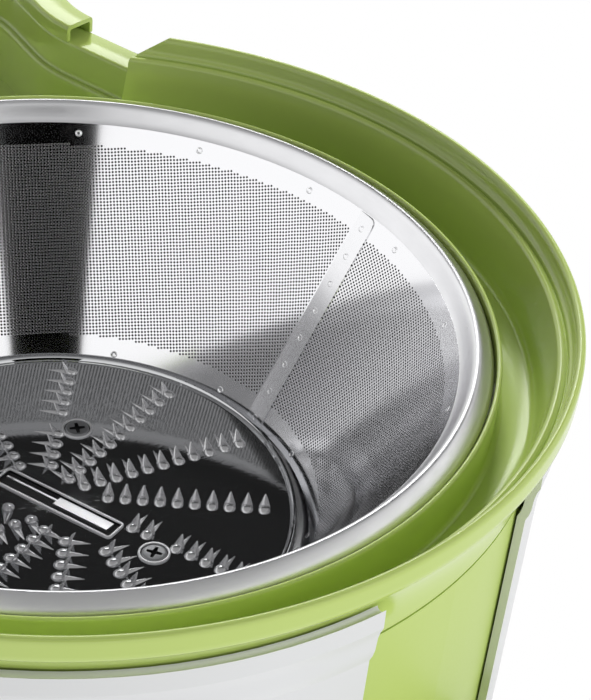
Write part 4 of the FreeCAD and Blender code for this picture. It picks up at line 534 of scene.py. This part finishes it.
# Seam: where its straight edge starts, how far down and how wide it is, and its rounded upper corner
SEAM_TOP, SEAM_LENGTH, SEAM_WIDTH = -2.9, 40.3, 4.6
SEAM_STEPS = 20
SEAM_CORNER = [(-1.65, 1.4), (-1.75, 0.85), (-1.95, 0.45), (-2.35, 0.15), (SEAM_TOP, 0.0)]

# Welds as turn, height and lift: below the rim, above the foot and down the seam
RIM_WELDS, FOOT_WELDS = -3.3, -42.2
SEAM_WELDS = [-4.2 - 5.5 * step for step in range(8)]
WELDS = ([(math.radians(angle), RIM_WELDS, 0.0) for angle in (129.5, 108.9, 87.8, 66.8, 45.8, 24.8)]
         + [(math.radians(angle), FOOT_WELDS, 0.0) for angle in (118.5, 88.9, 59.3, 29.7)]
         + [(SEAM + SEAM_WIDTH / 2 / on_cone(0, height)[0], height, 0.17) for height in SEAM_WELDS])
WELD_SIDES = 16
WELD_RINGS = ((0.72, 0.0), (0.62, 0.07), (0.5, 0.07), (0.42, 0.02), (0.2, 0.03))


def seam_strip():
    """Lap of the strainer sheet: its edge stands off the sheet below it and has a rounded upper corner"""
    levels = SEAM_CORNER + [(SEAM_TOP - SEAM_LENGTH * step / SEAM_STEPS, 0.0)
                            for step in range(1, SEAM_STEPS + 1)]
    points = []
    for near, far in ((0.3, 0.03), (0.02, 0.01)):
        for height, trim in levels:
            radius = on_cone(0, height)[0]
            points += [on_cone(SEAM + across / radius, height, lift)
                       for across, lift in ((trim, near), (SEAM_WIDTH, far))]
    faces = []
    level = 2 * len(levels)
    for low in range(0, level - 2, 2):
        high = low + 2
        faces += [(low, low + 1, high + 1, high), (low, high, level + high, level + low),
                  (low + 1, level + low + 1, level + high + 1, high + 1)]
    faces += [(0, level, level + 1, 1), (level - 2, level - 1, 2 * level - 1, 2 * level - 2)]
    return points, faces


def welds():
    """Shallow ringed spots where the sheet is welded"""
    parts = []
    for turn, height, lift in WELDS:
        here = Vector(on_cone(turn, height, lift))
        up = (Vector(on_cone(turn, height + 0.5, lift)) - here).normalized()
        side = Vector((-math.sin(turn), math.cos(turn), 0))
        out = up.cross(side)
        if out.dot(Vector((math.cos(turn), math.sin(turn), 0))) > 0:
            out = -out
        rings = []
        for size, rise in WELD_RINGS:
            rings.append([here + side * across + up * along + out * rise
                          for across, along in ring_round(0, 0, size, WELD_SIDES)])
        parts.append(capped(walls(*rings), WELD_SIDES))
    return joined(*parts)


def make_seam():
    for name, form in (("seam_strip", seam_strip()), ("spot_welds", welds())):
        piece(name, *form, PLAIN, "basket", crease=50)


# Grater disc

FLAT_RADIUS, MIDDLE_RADIUS = 44.4, 27.0
OUTER_RINGS = 8
DISC_EDGE = [(FLAT_RADIUS, 0.0), (44.55, 0.25), (44.7, 0.6), (45.0, 0.9), (45.35, 0.85), (45.58, 0.5),
             (DISC_RADIUS, 0.0), (DISC_RADIUS, -1.0), (FLAT_RADIUS, -1.0)]
DISH_DEPTH = 0.8
WELL_DEPTH = 0.6

# Knife slot: half its length and width without the rounding of its corners
SLOT_LONG, SLOT_WIDE, SLOT_ROUND = 13.1, 1.8, 0.4

# Bars of the knife: start and end along the slot, low and high across it, heights there, thickness
KNIFE_BARS = ((-0.8, 11.9, -0.7, 1.78, 0.0, -0.17, 0.8), (-12.9, -0.9, 0.55, 1.05, -0.3, -0.34, 0.5))

SCREW_CIRCLE, DIMPLE_RADIUS = 23.0, 2.65
SCREWS = [(SCREW_CIRCLE * math.cos(turn), SCREW_CIRCLE * math.sin(turn))
          for turn in (math.radians(3.0 + 120 * n) for n in range(3))]
HEAD_RISE, HEAD_FLAT = 0.3, 1.9
HEAD_RINGS = ((HEAD_FLAT, 0.0), (2.25, 0.06), (2.42, 0.2), (2.46, 0.5), (2.46, 1.1))
CROSS_TURNS, CROSS_FOOT = (20, 52, 10), -0.5

# Teeth: where each row starts, how far rows reach, spacing, offset from the row's line, size
ROW_STARTS = (12.2, 9.2, 6.6, 7.0, 11.0, 13.0, 12.2, 9.2, 6.6, 4.6, 7.6, 13.0)
ROW_END, TOOTH_PITCH, HEEL_OFFSET, TOOTH_SIZE = 41.5, 3.35, 2.5, 1.17
SCREW_CLEAR = 3.6
SLOT_CLEAR_LONG, SLOT_CLEAR_LOW, SLOT_CLEAR_HIGH = 15, -5.4, 3.7
DOME_SIDES = 14
GROOVE = ((0.6, 0.66, 0.34), (1.5, 0.56, 0.34), (2.7, 0.36, 0.24), (4.3, 0.04, 0.03))


def on_disc(along, across, rise):
    """Point on the disc from distances along and across the slot's line, and a height over the disc"""
    x = along * math.cos(PHASE) - across * math.sin(PHASE)
    y = along * math.sin(PHASE) + across * math.cos(PHASE)
    return x, y, DISC_BASE + rise


def slot_outline():
    """Outline of the knife slot, its corners rounded a little"""
    outline = []
    corners = ((SLOT_LONG, SLOT_WIDE), (-SLOT_LONG, SLOT_WIDE),
               (-SLOT_LONG, -SLOT_WIDE), (SLOT_LONG, -SLOT_WIDE))
    for number, corner in enumerate(corners):
        for along, across in arc(corner, SLOT_ROUND, 90 * number, 90 * number + 90, 3):
            outline.append(on_disc(along, across, 0)[:2])
    return outline


def openings():
    """Outlines of the slot and of the screws' dimples"""
    return [slot_outline()] + [ring_round(x, y, DIMPLE_RADIUS) for x, y in SCREWS]


def plate():
    """Disc with the knife slot and screw holes cut out, and its edge rolled up"""
    middle = finer(filled([ring_round(0, 0, MIDDLE_RADIUS, ROUND_STEPS)] + openings(), DISC_BASE))
    radii = [MIDDLE_RADIUS + (FLAT_RADIUS - MIDDLE_RADIUS) * step / OUTER_RINGS
             for step in range(OUTER_RINGS + 1)]
    outer = walls(*[[(x, y, DISC_BASE) for x, y in ring_round(0, 0, radius, ROUND_STEPS)]
                    for radius in radii])
    edge = lathe([(radius, height - DISC_DEPTH) for radius, height in DISC_EDGE], ROUND_STEPS)
    return joined(middle, outer, edge)


def tooth_rows():
    """Heel, outward way and lean of every tooth, clear of the slot and the screws"""
    for row, start in enumerate(ROW_STARTS):
        turn = PHASE + math.radians(30 * row)
        out = Vector((math.cos(turn), math.sin(turn)))
        lean = Vector((-math.sin(turn), math.cos(turn)))
        reach = start
        while reach < ROW_END:
            heel = out * reach + lean * HEEL_OFFSET
            own = heel.copy()
            own.rotate(Matrix.Rotation(-PHASE, 2))
            free = all((heel - Vector(screw)).length > SCREW_CLEAR for screw in SCREWS)
            if free and not (abs(own.x) < SLOT_CLEAR_LONG and SLOT_CLEAR_LOW < own.y < SLOT_CLEAR_HIGH):
                yield heel, out, lean
            reach += TOOTH_PITCH


def tooth(heel, out, lean):
    """Pressed spike: a domed heel, a curved blade that climbs to a leaning point, and the groove ahead"""

    def spot(along, across, rise):
        place = heel + (lean * along + out * across) * TOOTH_SIZE
        return place.x, place.y, DISC_BASE + rise * TOOTH_SIZE

    rows = []
    turns = [2 * math.pi * n / DOME_SIDES for n in range(DOME_SIDES)]
    for share in (0.0, 0.3, 0.55, 0.78, 0.93, 1.0):
        size = math.sqrt(1 - share ** 2) + 0.03
        rows.append([spot(0.3 * share + math.cos(turn) * size * (1.25 if math.cos(turn) > 0 else 1.0),
                          math.sin(turn) * size, 0.6 * share) for turn in turns])
    dome = capped(walls(*rows), DOME_SIDES)
    rows = []
    across = (-1, -0.5, 0, 0.5, 1)
    for share in (0.0, 0.25, 0.5, 0.75, 0.92, 1.0):
        half = 0.92 * (1 - share) ** 0.85 + 0.03
        middle = 0.35 + 1.35 * share
        curve = [(side, middle + 0.34 * (1 - share) * side ** 2) for side in across]
        front = [(side, along + 0.3 * (1 - 0.7 * share)) for side, along in curve]
        rows.append([spot(along, side * half, 0.1 + 2.0 * share) for side, along in front + curve[::-1]])
    blade = capped(walls(*rows), 2 * len(across))
    groove = []
    for along, half, rise in GROOVE:
        groove += [spot(along, -half, 0.0), spot(along, -half * 0.2, rise),
                   spot(along, half * 0.2, rise * 0.85), spot(along, half, 0.0)]
    sides = [(level * 4 + n, level * 4 + n + 1, level * 4 + n + 5, level * 4 + n + 4)
             for level in range(len(GROOVE) - 1) for n in range(3)]
    return joined(dome, blade, (groove, sides))


def lips():
    """Thin bright edges folded up round the knife slot and the screws' dimples"""
    bead = [(side, DISC_BASE + rise) for side, rise in ((0.04, -0.1), (0.04, 0.26), (-0.02, 0.3),
                                                        (-0.34, 0.32), (-0.42, 0.24), (-0.46, 0.0))]
    return joined(*[sweep(outline, bead, closed=True) for outline in openings()])


def wells():
    """Insides of the knife slot, of the screws' dimples and of their cross recesses, coloured near-black as
    painted shade
    """
    parts = []
    hollows = [(outline, 0.0, -WELL_DEPTH) for outline in openings()]
    hollows += [(cross_outline(number), HEAD_RISE, CROSS_FOOT) for number in range(len(SCREWS))]
    for outline, top, foot in hollows:
        parts.append(walls(*[[(x, y, DISC_BASE + height) for x, y in outline] for height in (top, foot)]))
        parts.append(filled([outline], DISC_BASE + foot))
    return joined(*parts)


def cross_outline(number):
    """Outline of one screw's cross recess"""
    x, y = SCREWS[number]
    cross = []
    for arm in range(4):
        turn = math.radians(CROSS_TURNS[number]) + arm * math.pi / 2
        way = Vector((math.cos(turn), math.sin(turn)))
        side = Vector((-way.y, way.x))
        cross += [way * 0.46 - side * 0.42, way * 1.55 - side * 0.3,
                  way * 1.55 + side * 0.3, way * 0.46 + side * 0.42]
    return [(x + spot.x, y + spot.y) for spot in cross]


def screw_heads():
    """Screw heads with a cross recess, a little domed at the edge"""
    top = DISC_BASE + HEAD_RISE
    parts = []
    for number, (x, y) in enumerate(SCREWS):
        parts.append(filled([ring_round(x, y, HEAD_FLAT), cross_outline(number)], top))
        parts.append(walls(*[[spot + (top - drop,) for spot in ring_round(x, y, size)]
                             for size, drop in HEAD_RINGS]))
    return joined(*parts)


def knife():
    """Core knife in the slot: a bar that faces up on one side of the axis and a narrow edge on the other"""
    parts = []
    for start, end, low, high, near, far, depth in KNIFE_BARS:
        corners = ((start, low, near), (end, low, near), (end, high, far), (start, high, far))
        parts.append(box([on_disc(along, across, rise - drop) for drop in (0.0, depth)
                          for along, across, rise in corners]))
    return joined(*parts)


def dish(x, y):
    """Rise of the pressed disc at a place: its middle lies a little lower than its edge"""
    return DISH_DEPTH * (x * x + y * y) / DISC_RADIUS ** 2 - DISH_DEPTH / 2


def make_disc():
    teeth = joined(*[tooth(*place) for place in tooth_rows()])
    for name, form, material, crease, slot, node in (
            ("pressed_disc", plate(), MIRROR, 40, "mirror_steel", "grater_disc"),
            ("grater_teeth", teeth, TOOTH, 70, "mirror_steel", None),
            ("disc_lips", lips(), EDGE, 60, "mirror_steel", None),
            # The recesses are coloured with painted shade
            ("disc_recesses", wells(), PAINTED_SHADE, 40, "mirror_steel", None),
            ("slot_knife", knife(), EDGE, 30, "bright_steel", "core_knife"),
            ("cross_screws", screw_heads(), SCREW, 40, "fastener_steel", "grater_screws")):
        points = [(x, y, height + dish(x, y)) for x, y, height in form[0]]
        thing = piece(name, points, form[1], material, "basket", crease=crease)
        if node:
            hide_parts(node)


# Camera, at the photograph's angle: turn, rise and roll in radians, distance in millimetres, lens from pixels

VIEW_TURN, VIEW_RISE, VIEW_ROLL = (math.radians(angle) for angle in (34.0, 35.8, 5.7))
VIEW_DISTANCE = 390
FOCAL_PIXELS, PHOTO_PIXELS, SENSOR = 2185, 700, 36.0


def set_camera():
    away = Vector((-math.sin(VIEW_TURN), math.cos(VIEW_TURN), 0))
    right = Vector((math.cos(VIEW_TURN), math.sin(VIEW_TURN), 0))
    target = right * 42.2 - away * 2.7 + Vector((0, 0, RIM_HEIGHT))
    forward = away * math.cos(VIEW_RISE) - Vector((0, 0, math.sin(VIEW_RISE)))
    up = right.cross(forward)
    across = right * math.cos(VIEW_ROLL) + up * math.sin(VIEW_ROLL)
    upward = up * math.cos(VIEW_ROLL) - right * math.sin(VIEW_ROLL)
    axes = Matrix((across, upward, -forward)).transposed().to_4x4()
    lens = bpy.data.cameras.new("photo_camera")
    lens.sensor_width = SENSOR
    lens.lens = FOCAL_PIXELS * SENSOR / PHOTO_PIXELS
    lens.clip_start = 0.01
    camera = bpy.data.objects.new("photo_camera", lens)
    camera.matrix_world = Matrix.Translation((target - forward * VIEW_DISTANCE) * MM) @ axes
    scene.collection.objects.link(camera)
    scene.camera = camera


# Light and surroundings, in metres

LAMP_TARGET = (0, 0, 0.15)
CARD_MIDDLE, CARD_DISTANCE = (0, 0, 0.2), 1.2

# Lamps: name, place, size, power
LAMPS = (("key", (-0.62, 0.95, 0.84), (0.25, 0.25), 13),
         ("over", (-0.2, 0.3, 1.4), (0.8, 0.8), 1),
         ("front", (0.9, -0.75, 0.15), (0.5, 0.3), 1.8),
         ("right", (1.13, 0.3, 0.8), (0.4, 0.4), 6))

# Cards that only reflections see: name, turn and rise in degrees, size, brightness
CARDS = (("dark_behind_camera", 318.5, 28, (0.62, 0.5), 0.0),
         ("dark_beyond", 127, 48, (1.5, 0.5), 0.02),
         ("bright_beyond", 128, 30.5, (0.44, 0.25), 5.0),
         ("grey_right", 88, 14, (0.6, 0.45), 0.1))


def soft_lamp(name, at, size, power):
    """Area lamp that lights the juicer and is not mirrored in it"""
    lamp = bpy.data.lights.new(name, "AREA")
    lamp.shape = "RECTANGLE"
    lamp.size, lamp.size_y = size
    lamp.energy = power
    stand = bpy.data.objects.new(name, lamp)
    stand.location = at
    stand.rotation_euler = (Vector(LAMP_TARGET) - Vector(at)).to_track_quat("-Z", "Y").to_euler()
    stand.visible_glossy = False
    scene.collection.objects.link(stand)


def board(name, size, level):
    """Staged plane of even brightness"""
    mesh = bpy.data.meshes.new(name)
    form = bmesh.new()
    bmesh.ops.create_grid(form, x_segments=1, y_segments=1, size=0.5)
    form.to_mesh(mesh)
    form.free()
    plane = bpy.data.objects.new(name, mesh)
    plane.scale = (size[0], size[1], 1)
    material, _, shader, _ = finish(name, Roughness=1.0, Emission_Strength=level, Specular_IOR_Level=0.0)
    shader.inputs["Base Color"].default_value = linear("000000")
    shader.inputs["Emission Color"].default_value = linear("ffffff")
    mesh.materials.append(material)
    scene.collection.objects.link(plane)
    return plane


def card(name, turn, rise, size, level):
    """Board that only reflections see, facing the juicer from a direction"""
    plane = board(name, size, level)
    turn, rise = math.radians(turn), math.radians(rise)
    way = Vector((math.cos(turn) * math.cos(rise), math.sin(turn) * math.cos(rise), math.sin(rise)))
    plane.location = way * CARD_DISTANCE + Vector(CARD_MIDDLE)
    plane.rotation_euler = way.to_track_quat("Z", "Y").to_euler()
    plane.visible_camera = False
    plane.visible_diffuse = False
    plane.visible_shadow = False
    plane.visible_transmission = False


def set_world():
    """White backdrop for the camera, one soft gradient for diffuse light and another for reflections"""
    world = bpy.data.worlds.new("studio")
    scene.world = world
    world.use_nodes = True
    tree = world.node_tree
    sky = tree.nodes["Background"]
    rays = add(tree, "LightPath")
    seen = add(tree, "Math", {0: rays.outputs["Is Camera Ray"], 1: rays.outputs["Is Transmission Ray"]},
               operation="MAXIMUM")
    rise = add(tree, "SeparateXYZ", {0: add(tree, "TexCoord").outputs["Generated"]}).outputs["Z"]
    glow = add(tree, "MapRange", {"Value": rise, "From Min": -0.05, "From Max": 0.15, "To Min": 1.05,
                                  "To Max": 0.24})
    gleam = add(tree, "MapRange", {"Value": rise, "From Min": 0.5, "From Max": 0.85, "To Min": 1.17,
                                   "To Max": 0.36})
    shine = add(tree, "Mix", {"Factor": rays.outputs["Is Glossy Ray"], "A": glow.outputs["Result"],
                              "B": gleam.outputs["Result"]})
    level = add(tree, "Mix", {"Factor": seen.outputs[0], "A": shine.outputs[0], "B": 1.0})
    sky.inputs["Color"].default_value = linear("ffffff")
    link(tree, level.outputs[0], sky, "Strength")


def set_studio():
    set_world()
    for lamp in LAMPS:
        soft_lamp(*lamp)
    board("lit_floor", (3.0, 3.0), 1.0).location.z = -0.5 * MM
    for place in CARDS:
        card(*place)


make_bowl()
make_rim()
make_seam()
make_disc()
set_camera()
set_studio()
